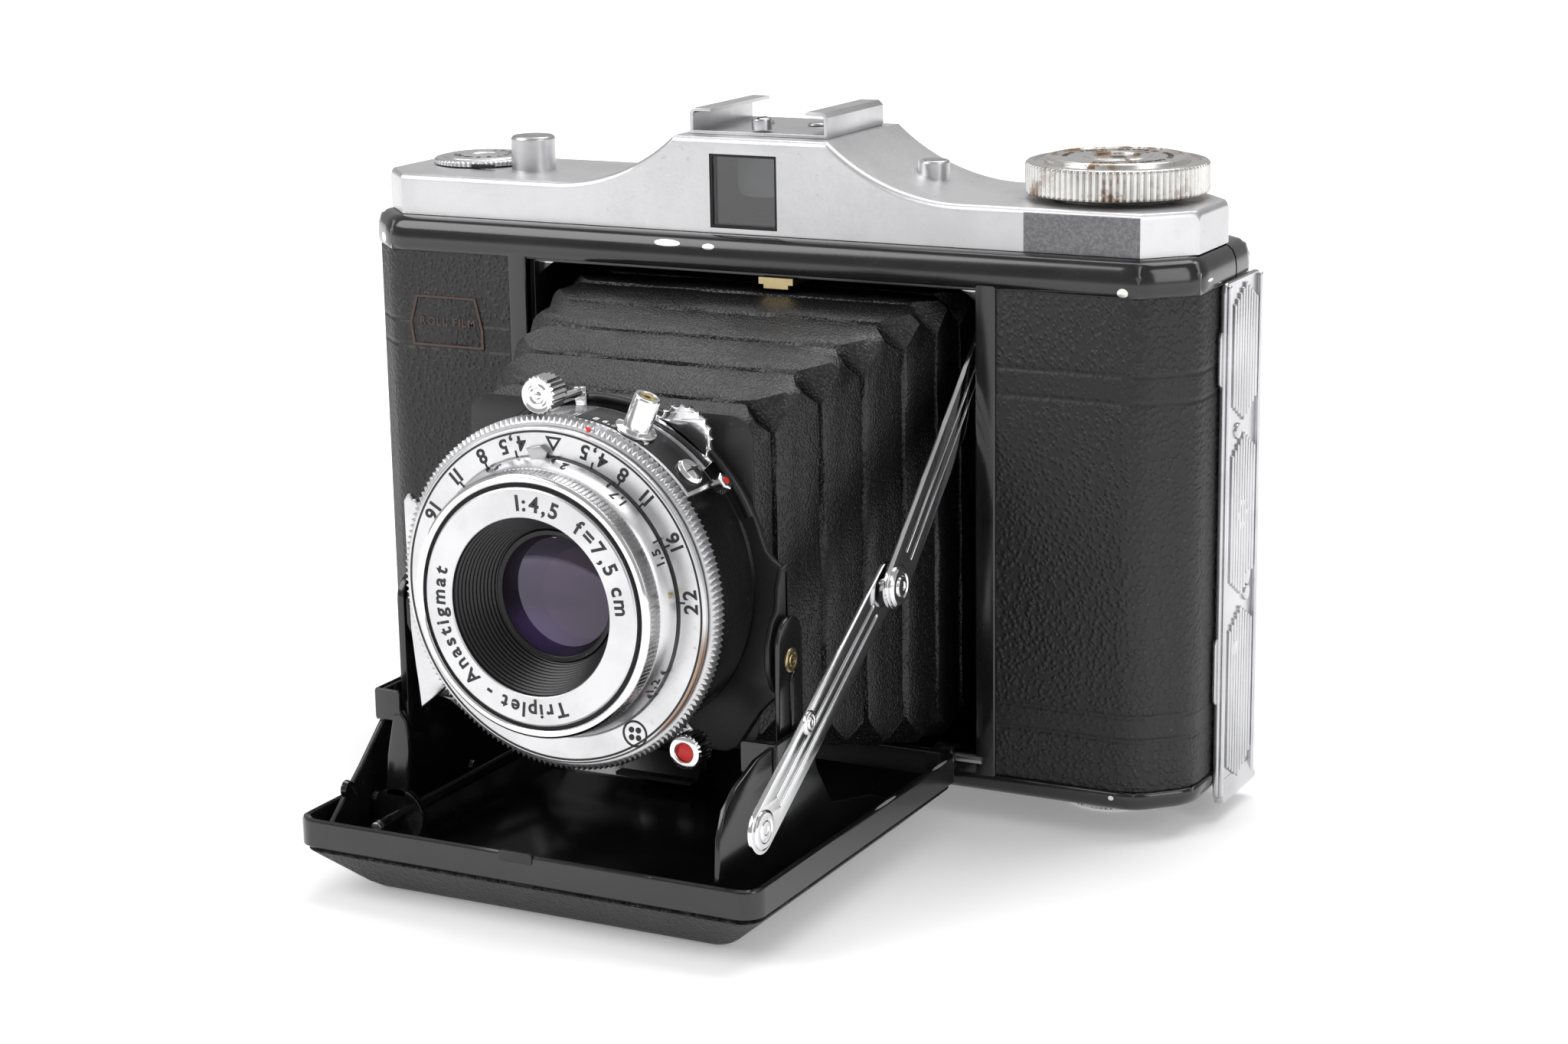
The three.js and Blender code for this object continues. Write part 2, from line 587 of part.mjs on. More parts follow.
// The liner carries the arms and the struts on two upright cheeks.
const cheekBack = [
  [-42.0, 20.7], [-40.8, 19.6], [-39.6, 14.0], [-35.0, 7.5], [-22.0, 4.6], [-15.0, -1.9],
];
const cheekRightOutline = [
  [-67.6, -1.9], [-68.2, 6.0], [-67.6, 12.6], [-66.0, 16.0], [-62.6, 18.2], [-57.0, 20.2], [-51.0, 20.7],
  ...cheekBack,
];
const cheekLeftOutline = [
  [-66.6, -1.9], [-66.6, 4.4], [-64.8, 5.7], [-57.9, 11.1], [-52.1, 16.2], [-51.8, 20.7],
  ...cheekBack,
];
const armHole = circle(ARM_FOOT[0], ARM_FOOT[1], 1.5, 16);
const strutHole = circle(STRUT_FOOT[0], STRUT_FOOT[1], 1.5, 16);
const cheekRight = plateX(cheekRightOutline, 32.6, 33.4, [armHole, strutHole]);
const cheekLeft = plateX(cheekLeftOutline, -33.4, -32.6, [armHole]);
const linerFloor = plateY([
  [-33.4, 2.2], [-28.2, -1.8], [28.2, -1.8], [33.4, 2.2],
  [33.4, 3.4], [28.0, -1.0], [-28.0, -1.0], [-33.4, 3.4],
], -66.4, -15);
const lightening = plateZ(rectangle(-23, 23, -56, -24, 3), -3, 0);
const bedDish = join(
  loftZ(inset(bedFoot, 0.5), BED_FLOOR + 1.1, inset(bedOutline, 1.5), BED_RIM_BOTTOM + 0.6),
  plateZ(inset(bedOutline, 1.5), BED_RIM_BOTTOM + 0.55, 60),
);
const liner = cut(join(linerFloor, cheekRight, cheekLeft), lightening).intersect(bedDish);
add("bed_liner", liner, satinBlack);
const tongue = [
  [-15.4, -0.9], [-13.2, -0.9], [-10.6, 2.2], [-10.9, 2.7], [-13.6, -0.4], [-15.4, -0.4],
];
add("bed_plate_spring", plateX(tongue, -16.5, -3.5), satinBlack);
const releaseShaft = join(
  rodY(-27.2, 4.3, 0.9, -62.2, -16, 16),
  rodY(-27.2, 4.3, 4.2, -57.4, -56.4, 28),
  plateY([[-29.0, 7], [-26.0, 7], [-25.0, 18.4], [-25.8, 19.6], [-27.0, 19.2]], -57.4, -56.4),
);
add("release_shaft", releaseShaft, satinBlack);

// ---------------------------------------------------------------- struts
// One folding strut, on the winding side, holds the bed open.
const lowerStrut = join(
  plateX(link(STRUT_FOOT, STRUT_KNEE, 3.3), 34.0, 34.7),
  rodX(...STRUT_FOOT, 1.2, 32.5, 34.9),
  rodX(...STRUT_FOOT, 2.6, 34.6, 35.05, 18),
);
const upperStrut = join(
  plateX(link(STRUT_KNEE, STRUT_TOP, 3.3), 35.3, 36.1),
  rodX(...STRUT_KNEE, 2.9, 36.0, 36.9, 18),
  rodX(...STRUT_KNEE, 1.1, 33.9, 36.0),
);
add("strut_lower", cut(lowerStrut, rodX(...STRUT_KNEE, 1.5, 33, 35)), brightChrome);
add("strut_upper", cut(upperStrut, rodX(...STRUT_TOP, 1.2, 35.0, 36.3)), brightChrome);

// ---------------------------------------------------------------- lens standard
function arm(sign) {
  const at = (x0, x1) => (sign > 0 ? [x0, x1] : [-x1, -x0]);
  return join(
    plateX(link(ARM_FOOT, ARM_HEAD, 3.4), ...at(31.3, 32.1)),
    rodX(...ARM_FOOT, 1.1, ...at(32.0, 33.3), 16),
    rodX(...ARM_HEAD, 1.1, ...at(29.4, 31.5), 16),
    rodX(...ARM_HEAD, 2.0, ...at(28.6, 29.5), 20),
  );
}
add("standard_arm_right", arm(1), satinBlack);
add("standard_arm_left", arm(-1), satinBlack);

const plateOutline = [
  ...arc(0, LENS_Z, PLATE_RADIUS, 22, 158, 24),
  [-24.6, 46.6], [-27.0, 44.6], [-30.7, 43.2], [-30.7, 25.5], [-24.0, 22.0], [-18.0, 15.6],
  [18.0, 15.6], [24.0, 22.0], [30.7, 25.5], [30.7, 43.2], [27.0, 44.6], [24.6, 46.6],
];
const ear = [[-42.6, 25.5], [-42.6, 42.6], [-44.2, 42.0], [-47.6, 37.0], [-48.2, 30.0], [-46.4, 27.0]];
const standard = cut(
  join(
    plateY(plateOutline, PLATE_FRONT, PLATE_REAR),
    plateX(ear, 29.9, 30.7),
    plateX(ear, -30.7, -29.9),
  ),
  rodY(0, LENS_Z, 14.6, -50, -30, 48),
  rodX(...ARM_HEAD, 1.5, -31, -29.7, 16),
  rodX(...ARM_HEAD, 1.5, 29.7, 31, 16),
  box(28.2, 29.8, -50, -40, 30.6, 35.4),
  box(-29.8, -28.2, -50, -40, 30.6, 35.4),
);
add("standard_plate", standard, satinBlack);

// ---------------------------------------------------------------- shutter and lens
const lensPart = (name, profile, look, n = 48) => add(name, turnedY(profile, 0, LENS_Z, n), look);
lensPart("shutter_housing", [
  [11.0, -56.5], [21.6, -56.5], [21.6, -54.2], [23.2, -54.2], [23.2, -43.5], [14.2, -43.5],
  [14.2, -38.4], [10.2, -38.4], [10.2, -48.2], [11.0, -48.2],
], anodised, 40);
lensPart("speed_ring", [
  [21.9, -57.0], [24.0, -57.0], [24.6, -56.5], [24.6, -55.0], [24.0, -54.5], [21.9, -54.5],
], brightChrome, 48);
lensPart("scale_plate", [
  [10.9, -58.0], [20.6, -58.0], [23.3, -57.8], [23.3, -57.2], [21.7, -57.2], [21.7, -56.8], [10.9, -56.8],
], satinChrome, 40);
lensPart("focus_ring", [
  [16.7, -63.7], [17.6, -63.7], [18.1, -63.2], [18.4, -60.4], [19.4, -58.4], [16.7, -58.4],
], satinChrome, 40);
lensPart("name_ring", [
  [12.2, -64.0], [16.4, -64.0], [16.4, -58.3], [10.5, -58.3], [10.5, -52.6], [8.9, -52.6],
  [8.9, -58.0], [7.7, -58.4],
], satinChrome, 40);
lensPart("front_lens", [[0, -58.6], [4, -58.3], [7.4, -57.3], [8.6, -56.6], [8.6, -53.6], [0, -53.6]], glass, 28);
lensPart("shutter_blades", [[0, -51.6], [10.6, -51.6], [10.6, -51.2], [0, -51.2]], satinBlack, 28);
lensPart("iris", [[5.4, -50.4], [10.6, -50.4], [10.6, -50.0], [5.4, -50.0]], satinBlack, 28);
lensPart("rear_lens", [[0, -45.6], [9.8, -45.0], [9.8, -40.6], [6, -39.6], [0, -39.2]], glass, 28);

// A strip of the barrel between two angles, counted from +X toward +Z.
function barrelSector(r0, r1, a0, a1, y0, y1, steps = 12) {
  return plateY([...arc(0, LENS_Z, r1, a0, a1, steps), ...arc(0, LENS_Z, r0, a1, a0, steps)], y0, y1);
}
const radial = (a, r, y) => [
  r * Math.cos(THREE.MathUtils.degToRad(a)), y, LENS_Z + r * Math.sin(THREE.MathUtils.degToRad(a))];
// A turned part standing on the barrel: the profile's second number counts outward.
function standing(profile, a, y, segments = 20) {
  const loop = [...profile, profile[0]].map(([r, h]) => new THREE.Vector2(r, h));
  const geometry = new THREE.LatheGeometry(loop, segments);
  geometry.rotateX(Math.PI / 2);
  geometry.rotateY(THREE.MathUtils.degToRad(90 - a));
  geometry.translate(0, y, LENS_Z);
  return solid(geometry);
}
add("aperture_scale", cut(
  barrelSector(23.3, 24.2, 38, 103, -54.0, -46.6),
  rodY(...[radial(67, 24, 0)[0], radial(67, 24, 0)[2]], 2.4, -53.4, -48.6),
), anodised);
add("sync_socket", standing([[0, 23.4], [2.0, 23.4], [2.0, 29.2], [1.6, 29.5], [0, 29.5]], 67, -51), brightChrome);
add("scale_screw", standing([[0, 24.3], [1.9, 24.3], [1.6, 25.0], [0, 25.2]], 45, -50.6), brightChrome);
const [leverX, , leverZ] = radial(56, 25.2, 0);
const scallop = [];
for (let i = 0; i <= 22; i += 1) {
  const a = THREE.MathUtils.degToRad(-34 + (180 * i) / 22);
  const r = i % 2 === 0 ? 4.4 : 3.9;
  scallop.push([leverX + r * Math.cos(a), leverZ + r * Math.sin(a)]);
}
add("aperture_lever", join(
  plateY(scallop, -46.3, -45.5),
  barrelSector(23.4, 25.6, 44, 68, -46.3, -45.5, 6),
), brightChrome);
const [cockX, , cockZ] = radial(94, 27.3, 0);
const [shankX, , shankZ] = radial(94, 25.8, 0);
add("cocking_lever", join(
  rodY(cockX, cockZ, 2.5, -57.4, -53.4, 24),
  rodY(shankX, shankZ, 0.7, -53.6, -45.5, 12),
  barrelSector(23.4, 26.5, 92, 96, -46.3, -45.5, 3),
), brightChrome);
const [timerX, , timerZ] = radial(-46.5, 27.3, 0);
add("self_timer_lever", join(
  rodY(timerX, timerZ, 2.5, -56.6, -53.0, 28),
  barrelSector(23.5, 27.4, -49, -43, -53.8, -53.0, 4),
), brightChrome);
add("release_arm", join(
  plateY([[-28.9, 19.0], [-26.6, 19.6], [-26.2, 33.0], [-25.6, 44.8], [-28.9, 48.2]], -50.6, -49.8),
  barrelSector(23.5, 27.0, 168, 176, -50.6, -49.8, 4),
), brightChrome);

export default camera;
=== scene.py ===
"""Looks of the folding camera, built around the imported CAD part. All lengths in the tables
below are millimetres from the corner of the body: y = 0 at the front of the top cover and
z = 0 under the body. at() moves them into the part's own frame, in metres."""
import math
import random

import bmesh
import bpy
from mathutils import Matrix, Vector


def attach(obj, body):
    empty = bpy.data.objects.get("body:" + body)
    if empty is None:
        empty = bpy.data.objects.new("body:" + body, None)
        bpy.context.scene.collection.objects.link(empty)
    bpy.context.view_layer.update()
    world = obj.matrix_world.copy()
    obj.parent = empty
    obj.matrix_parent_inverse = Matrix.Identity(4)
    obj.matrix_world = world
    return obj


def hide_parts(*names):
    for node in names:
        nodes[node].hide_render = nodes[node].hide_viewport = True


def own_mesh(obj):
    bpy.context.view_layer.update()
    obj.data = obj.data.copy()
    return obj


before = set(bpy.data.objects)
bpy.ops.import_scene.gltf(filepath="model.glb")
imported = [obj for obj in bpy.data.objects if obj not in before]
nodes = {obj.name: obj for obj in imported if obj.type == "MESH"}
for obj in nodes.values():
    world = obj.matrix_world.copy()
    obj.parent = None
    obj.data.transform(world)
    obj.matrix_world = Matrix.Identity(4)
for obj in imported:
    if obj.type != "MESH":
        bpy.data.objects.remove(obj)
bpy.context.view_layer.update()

# Driving dimensions.
MM = 0.001
SHIFT = Vector((0.0, 19.3, 4.5))  # from the tables' origin to the part's frame
BODY_HALF, BODY_FRONT, BODY_BACK = 68.5, -2.35, 30.0
BODY_CHAMFER = (61.8, 4.0)  # where the front flat ends, and where the side flat begins
OPEN_X, OPEN_LOW, OPEN_TOP = 37.3, 4.6, 74.8
END_TOP, FINDER_TOP = 86.3, 94.2
SHOULDER, SHOULDER_END = 31.5, 33.5
COVER_HALF, COVER_FLAT, COVER_CORNER, COVER_DEPTH, COVER_BACK = 67.4, 61.1, 6.4, 25.5, 18.5
COVER_LOW, COVER_EDGE = 80.12, 0.95
WINDOW = (-6.5, 4.6, 80.85, 91.8)  # finder opening in the cover: x and z
SHOE_TOP = 98.0
SPOOL = (51.6, 15.5)
KNOB_TEETH, DISC_TEETH, PEG_TEETH = 84, 60, 56
RELEASE, DOOR_BUTTON, REMINDER = (-44.6, 12.6), (23, 15), (-56.2, 16.5)
LENS_Z = 39.4
LENS_CENTRE = (0, LENS_Z)
DIAL_FRONT = -58.0
SPEED_TEETH, COCK_TEETH, TIMER_TEETH = 176, 22, 22
BELLOWS_REAR, BELLOWS_FRONT = 22.0, -41.9
BED_HALF, BED_FRONT, BED_REAR = 36.1, -69.8, -5.2
CHEEK_BACK = [(-42.0, 20.7), (-40.8, 19.6), (-39.6, 14.0), (-35.0, 7.5), (-22.0, 4.6), (-15.0, 1.5)]
CHEEK_RIGHT = [(-15.0, -0.9), (-61.5, -0.9), (-67.2, 2.4), (-68.2, 6.0), (-67.6, 12.6),
               (-66.0, 16.0), (-62.6, 18.2), (-57.0, 20.2), (-51.0, 20.7), *CHEEK_BACK]
CHEEK_LEFT = [(-66.6, 0.9), (-66.6, 4.4), (-64.8, 5.7), (-57.9, 11.1), (-52.1, 16.2), (-51.8, 20.7),
              (-42.0, 20.7), (-40.6, 19.6), (-38.6, 16.4), (-35.2, 14.6), (-30.0, 10.6), (-25.4, 7.2),
              (-15.0, 1.5)]
FOOT, KNEE, HEAD = (-64.4, 13.6), (-26.3, 37.1), (6.25, 67.05)  # strut pivots: y and z
ARM_LOW, ARM_TOP = (-44.35, 16), (-44.35, 33)
CAMERA_EYE, CAMERA_TARGET, CAMERA_ROLL, CAMERA_LENS = (214.1, -402.3, 149.2), (4.94, 0.0, 37.1), -0.95, 71.7


def at(x, y, z):
    """A point of the tables, in the part's frame."""
    return (Vector((x, y, z)) + SHIFT) * MM


# ------------------------------------------------------------------ materials
class Nodes:
    """Builds one procedural material on a Principled shader."""

    def __init__(self, name):
        self.material = bpy.data.materials.new(name)
        self.material.use_nodes = True
        self.tree = self.material.node_tree
        self.bsdf = self.tree.nodes["Principled BSDF"]
        self.coords = self.tree.nodes.new("ShaderNodeTexCoord").outputs["Object"]

    def new(self, kind, **inputs):
        node = self.tree.nodes.new(kind)
        for key, value in inputs.items():
            key = key.replace("_", " ")
            if hasattr(value, "is_output"):
                self.tree.links.new(value, node.inputs[key])
            else:
                node.inputs[key].default_value = value
        return node

    def link(self, output, socket):
        self.tree.links.new(output, self.bsdf.inputs[socket])

    def set(self, **values):
        for key, value in values.items():
            self.bsdf.inputs[key.replace("_", " ")].default_value = value

    def noise(self, scale, detail=3.0, rough=0.55, vector=None):
        node = self.new("ShaderNodeTexNoise", Scale=scale, Detail=detail, Roughness=rough)
        self.tree.links.new(vector or self.coords, node.inputs["Vector"])
        return node.outputs["Fac"]

    def cells(self, scale, vector=None, feature="F1", smooth=None):
        node = self.tree.nodes.new("ShaderNodeTexVoronoi")
        node.feature = "SMOOTH_F1" if smooth is not None else feature
        node.inputs["Scale"].default_value = scale
        if smooth is not None:
            node.inputs["Smoothness"].default_value = smooth
        self.tree.links.new(vector or self.coords, node.inputs["Vector"])
        return node.outputs["Distance"]

    def math(self, operation, a, b=None, c=None, clamp=False):
        node = self.tree.nodes.new("ShaderNodeMath")
        node.operation = operation
        node.use_clamp = clamp
        for i, value in enumerate((a, b, c)):
            if value is None:
                continue
            if hasattr(value, "is_output"):
                self.tree.links.new(value, node.inputs[i])
            else:
                node.inputs[i].default_value = value
        return node.outputs[0]

    def ramp(self, value, low, high, to_low=0.0, to_high=1.0):
        node = self.tree.nodes.new("ShaderNodeMapRange")
        node.clamp = True
        node.interpolation_type = "SMOOTHSTEP"
        self.tree.links.new(value, node.inputs["Value"])
        for key, number in zip(("From Min", "From Max", "To Min", "To Max"),
                               (low, high, to_low, to_high)):
            node.inputs[key].default_value = number
        return node.outputs["Result"]

    def axis(self, which):
        node = self.tree.nodes.new("ShaderNodeSeparateXYZ")
        self.tree.links.new(self.coords, node.inputs[0])
        return node.outputs[which]

    def mix(self, factor, a, b):
        node = self.tree.nodes.new("ShaderNodeMix")
        node.data_type = "RGBA"
        self.tree.links.new(factor, node.inputs["Factor"])
        for socket, value in ((node.inputs[6], a), (node.inputs[7], b)):
            if hasattr(value, "is_output"):
                self.tree.links.new(value, socket)
            else:
                socket.default_value = (*value, 1.0)
        return node.outputs[2]

    def bump(self, height, strength, distance):
        node = self.new("ShaderNodeBump", Strength=strength, Distance=distance, Height=height)
        self.link(node.outputs["Normal"], "Normal")

    def vector(self, operation, a, b=None, output="Vector"):
        node = self.tree.nodes.new("ShaderNodeVectorMath")
        node.operation = operation
        self.tree.links.new(a, node.inputs[0])
        if hasattr(b, "is_output"):
            self.tree.links.new(b, node.inputs[1])
        elif b is not None:
            node.inputs[1].default_value = b
        return node.outputs[output]

    def product(self, *values):
        """All the values multiplied together."""
        total = values[0]
        for value in values[1:]:
            total = self.math("MULTIPLY", total, value)
        return total

    def within(self, value, low, high, edge):
        """1 between the two limits, 0 outside, with soft ends."""
        return self.product(self.ramp(value, low - edge, low + edge), self.ramp(value, high + edge, high - edge))

    def near(self, centre, radii, edge=0.25):
        """1 inside an ellipsoid around a point of the tables, 0 outside."""
        offset = self.vector("DIVIDE", self.vector("SUBTRACT", self.coords, at(*centre)), [r * MM for r in radii])
        return self.ramp(self.vector("LENGTH", offset, output="Value"), 1.0, 1.0 - edge)


def metal(name, color, rough, grain=1500.0, bump=0.06, stain=None, stain_from=0.62, wear=0.12):
    """Plated or bare metal: a fine frosted grain, cloudy roughness and optional brown stains."""
    m = Nodes(name)
    m.set(Metallic=1.0, Base_Color=(*color, 1.0))
    cloud = m.noise(90.0, 4.0)
    fine = m.noise(grain, 2.0)
    dark = tuple(c * 0.84 for c in color)
    tint = m.mix(m.ramp(cloud, 0.35, 0.7), color, dark)
    if stain:
        spots = m.math("MULTIPLY", m.ramp(m.noise(260.0, 6.0, 0.7), stain_from, stain_from + 0.08),
                       m.ramp(cloud, 0.4, 0.62))
        tint = m.mix(spots, tint, stain)
        m.link(m.math("SUBTRACT", 1.0, m.math("MULTIPLY", spots, 0.7)), "Metallic")
    m.link(tint, "Base Color")
    m.link(m.math("ADD", m.math("MULTIPLY", fine, wear), m.math(
        "ADD", rough - wear / 2, m.math("MULTIPLY", m.math("SUBTRACT", cloud, 0.5), wear))), "Roughness")
    m.bump(fine, bump, 0.0002)
    return m.material


def cover_material():
    """Frosted chrome, with one box at the right end of the front face that is dark grey, speckled and a little
    rougher.
    """
    m = Nodes("frosted_chrome")
    m.set(Metallic=1.0)
    cloud, fine = m.noise(90.0, 4.0), m.noise(2200.0, 2.0)
    rub = m.math("MULTIPLY", m.ramp(m.noise(520.0, 6.0, 0.72), 0.60, 0.68), m.ramp(cloud, 0.45, 0.62))
    tint = m.mix(m.ramp(cloud, 0.35, 0.7), (0.66, 0.66, 0.67), (0.60, 0.60, 0.61))
    tint = m.mix(m.math("MULTIPLY", rub, 0.55), tint, (0.42, 0.38, 0.33))
    x, y, z = m.axis("X"), m.axis("Y"), m.axis("Z")
    # The box at the right end of the front face: the chrome turns to a dark grey speckle there and gets a little
    # rougher.
    low, high = at(43.6, 0.16, 80.9), at(61.05, 0.0, 85.75)
    soft = 0.1 * MM
    dark_box = m.product(m.within(x, low.x, high.x, soft), m.ramp(y, low.y + soft, low.y - soft),
                     m.ramp(z, high.z + soft, high.z - soft))
    speckle = m.mix(m.ramp(m.noise(2400.0, 4.0), 0.35, 0.7), (0.17, 0.17, 0.18), (0.25, 0.25, 0.26))
    stain = m.math("MULTIPLY", m.near((51.6, 15.5, 86.3), (17.0, 13.0, 1.5), 0.35),
                   m.ramp(m.noise(420.0, 6.0, 0.7), 0.50, 0.62))
    tint = m.mix(m.math("MULTIPLY", stain, 0.8), tint, (0.30, 0.17, 0.08))
    m.link(m.mix(dark_box, tint, speckle), "Base Color")
    m.link(m.math("ADD", m.math("MULTIPLY", fine, 0.16), m.math("ADD", 0.33, m.math("MULTIPLY", dark_box, 0.05))),
           "Roughness")
    m.bump(fine, 0.10, 0.0002)
    return m.material


def dial_material():
    """Satin chrome of the scale plate, with a brown stain along its right-hand rim."""
    m = Nodes("dial_chrome")
    m.set(Metallic=1.0)
    cloud, fine = m.noise(120.0, 4.0), m.noise(1800.0, 2.0)
    tint = m.mix(m.ramp(cloud, 0.35, 0.7), (0.70, 0.70, 0.71), (0.60, 0.60, 0.61))
    offset = m.vector("SUBTRACT", m.coords, at(0, DIAL_FRONT, LENS_Z))
    radius = m.vector("LENGTH", m.vector("MULTIPLY", offset, (1.0, 0.0, 1.0)), output="Value")
    rim = m.ramp(radius, 22.5 * MM, 23.1 * MM)
    speckle = m.product(m.ramp(radius, 19.5 * MM, 22.8 * MM, 0.0, 0.7),
                        m.ramp(m.noise(900.0, 5.0, 0.7), 0.60, 0.66))
    patch = m.near((19.5, DIAL_FRONT, LENS_Z - 10.0), (8.0, 8.0, 11.0), 0.45)
    brown = m.math("MULTIPLY", m.math("MAXIMUM", rim, speckle), patch)
    m.link(m.mix(m.math("MULTIPLY", brown, 0.85), tint, (0.26, 0.14, 0.07)), "Base Color")
    m.link(m.math("ADD", 0.26, m.math("MULTIPLY", fine, 0.14)), "Roughness")
    m.bump(fine, 0.05, 0.0002)
    return m.material


def painted(name, color, rough, grain=700.0, bump=0.05, coat=0.0, dust=0.35, metallic=0.0):
    """Paint, plastic or blacked metal with faint dust and an uneven gloss: its nodes, the tint
    under the dust and the dust."""
    m = Nodes(name)
    m.set(Metallic=metallic, Coat_Weight=coat, Coat_Roughness=0.12)
    cloud = m.noise(60.0, 4.0)
    fine = m.noise(grain, 3.0)
    specks = m.math("MULTIPLY", m.ramp(m.noise(2600.0, 2.0), 0.71, 0.76), dust)
    lighter = tuple(min(1.0, c * 1.5 + 0.004) for c in color)
    tint = m.mix(m.ramp(cloud, 0.35, 0.7), color, lighter)
    m.link(m.mix(specks, tint, (0.30, 0.29, 0.27)), "Base Color")
    m.link(m.math("ADD", rough - 0.06, m.math("MULTIPLY", cloud, 0.12)), "Roughness")
    m.bump(fine, bump, 0.0002)
    return m, tint, specks


def paint(*values, **options):
    return painted(*values, **options)[0].material


def enamel_material():
    """Gloss black enamel, chipped to bright metal at a few corners."""
    m, tint, specks = painted("black_enamel", (0.0045, 0.0045, 0.005), 0.19, 260.0, 0.08, coat=0.35, dust=0.18)
    chips = None
    ragged = m.math("MULTIPLY", m.math("SUBTRACT", m.noise(900.0, 3.0), 0.5), 0.9)
    for centre, radii in CHIPS:
        spot = m.near(centre, radii, 0.35)
        chips = spot if chips is None else m.math("MAXIMUM", chips, spot)
    worn = m.ramp(m.math("ADD", chips, ragged), 0.45, 0.6)
    dusty = m.mix(specks, tint, (0.30, 0.29, 0.27))
    m.link(m.mix(worn, dusty, (0.80, 0.78, 0.74)), "Base Color")
    m.link(m.math("MULTIPLY", worn, 0.6), "Metallic")
    return m.material


# Places where the enamel is chipped: centre and half sizes.
CHIPS = [
    ((-64.6, -0.4, 76.3), (1.5, 1.8, 0.9)), ((-12.6, -2.7, 78.6), (2.6, 1.2, 0.62)),
    ((-5.6, -2.7, 78.4), (1.2, 1.2, 0.5)), ((59.6, -2.8, 75.6), (1.0, 1.0, 0.8)),
    ((58.6, -2.8, 2.1), (0.5, 0.8, 0.4)), ((35.4, 0.2, 74.5), (2.4, 1.2, 0.8)),
    ((-35.2, 0.2, 74.5), (2.6, 1.2, 0.8)), ((68.4, 7.0, 76.6), (0.8, 2.4, 0.5)),
    ((-35.9, -69.5, 5.7), (0.9, 0.9, 1.0)), ((35.9, -69.6, 5.0), (0.9, 0.9, 1.6)),
    ((20.0, -69.9, 6.9), (5.0, 0.6, 0.35)), ((35.9, -30.0, 6.9), (0.4, 6.0, 0.35)),
    ((35.9, -12.0, 6.9), (0.4, 4.0, 0.4)), ((9.0, -69.9, 2.5), (4.0, 0.6, 0.3)),
]


def leather_material(name, color, cell, depth, bands=(), rough=0.52, crease=0.0):
    """Pebbled leatherette. bands are (low z, high z) pairs where the grain is pressed flat."""
    m = Nodes(name)
    swirl = m.new("ShaderNodeTexNoise", Scale=cell * 0.45, Vector=m.coords)
    step = m.vector("SCALE", swirl.outputs["Color"])
    step.node.inputs["Scale"].default_value = 1.1 / cell
    warp = m.vector("ADD", m.coords, step)
    pebble = m.ramp(m.cells(cell, warp, smooth=0.35), 0.12, 0.62, 1.0, 0.0)
    small = m.noise(cell * 2.6, 3.0, 0.6)
    height = m.math("ADD", m.math("MULTIPLY", pebble, 0.8), m.math("MULTIPLY", small, 0.35))
    if crease:
        lines = m.ramp(m.cells(cell * 0.12, warp, "DISTANCE_TO_EDGE"), 0.0, 0.06, crease, 0.0)
        height = m.math("SUBTRACT", height, lines)
    z = m.axis("Z")
    for low, high in bands:
        a, b = (low + SHIFT.z) * MM, (high + SHIFT.z) * MM
        inside = m.within(z, a, b, 0.3 * MM)
        core = m.product(m.ramp(z, a + 0.4 * MM, a + 0.9 * MM), m.ramp(z, b - 0.4 * MM, b - 0.9 * MM))
        edge = m.math("SUBTRACT", inside, core)
        height = m.math("MULTIPLY", height, m.math("SUBTRACT", 1.0, m.math("MULTIPLY", inside, 0.55)))
        height = m.math("SUBTRACT", height, m.math("MULTIPLY", edge, 0.9))
    cloud = m.noise(45.0, 4.0)
    lighter = tuple(c * 1.7 for c in color)
    tint = m.mix(m.ramp(height, 0.2, 1.0), color, lighter)
    dusty = m.mix(m.math("MULTIPLY", m.ramp(m.noise(1900.0, 2.0), 0.70, 0.76), 0.22), tint, (0.28, 0.27, 0.25))
    m.link(m.mix(m.ramp(cloud, 0.45, 0.8, 0.0, 0.35), dusty, lighter), "Base Color")
    m.link(m.math("ADD", rough - 0.08, m.math("MULTIPLY", cloud, 0.16)), "Roughness")
    m.bump(height, 0.75, depth)
    return m.material


def glass_material(name, color, rough=0.02, coating=None):
    m = Nodes(name)
    m.set(Base_Color=(*color, 1.0), Roughness=rough, Transmission_Weight=1.0, IOR=1.5)
    smear = m.noise(140.0, 4.0)
    m.link(m.ramp(smear, 0.5, 0.8, rough, rough + 0.05), "Roughness")
    if coating:
        m.set(Specular_Tint=(*coating, 1.0), Coat_Weight=0.6, Coat_Tint=(*coating, 1.0), Coat_Roughness=0.03)
    return m.material


def lens_material():
    """A coated lens over a dark barrel: violet and grey reflections of the glasses behind it."""
    m = Nodes("coated_lens")
    tint = (0.010, 0.008, 0.012)
    for (x, z), (rx, rz), edge, share, color in (
            ((-1.0, 3.4), (8.2, 5.6), 0.85, 0.8, (0.030, 0.024, 0.040)),
            ((-2.5, -5.4), (8.4, 5.6), 0.75, 0.85, (0.042, 0.026, 0.078)),
            ((5.0, 1.0), (6.6, 6.6), 0.06, 0.55, (0.048, 0.034, 0.040)),
            ((-0.6, -0.4), (7.6, 1.7), 0.60, 0.5, (0.014, 0.010, 0.018))):
        reflection = m.near((x, DIAL_FRONT, LENS_Z + z), (rx, 6.0, rz), edge)
        tint = m.mix(m.math("MULTIPLY", reflection, share), tint, color)
    m.link(tint, "Base Color")
    m.link(m.ramp(m.noise(300.0, 4.0), 0.4, 0.8, 0.03, 0.10), "Roughness")
    m.set(IOR=1.6, Specular_Tint=(0.75, 0.62, 1.0, 1.0), Coat_Weight=0.4, Coat_Roughness=0.02)
    return m.material


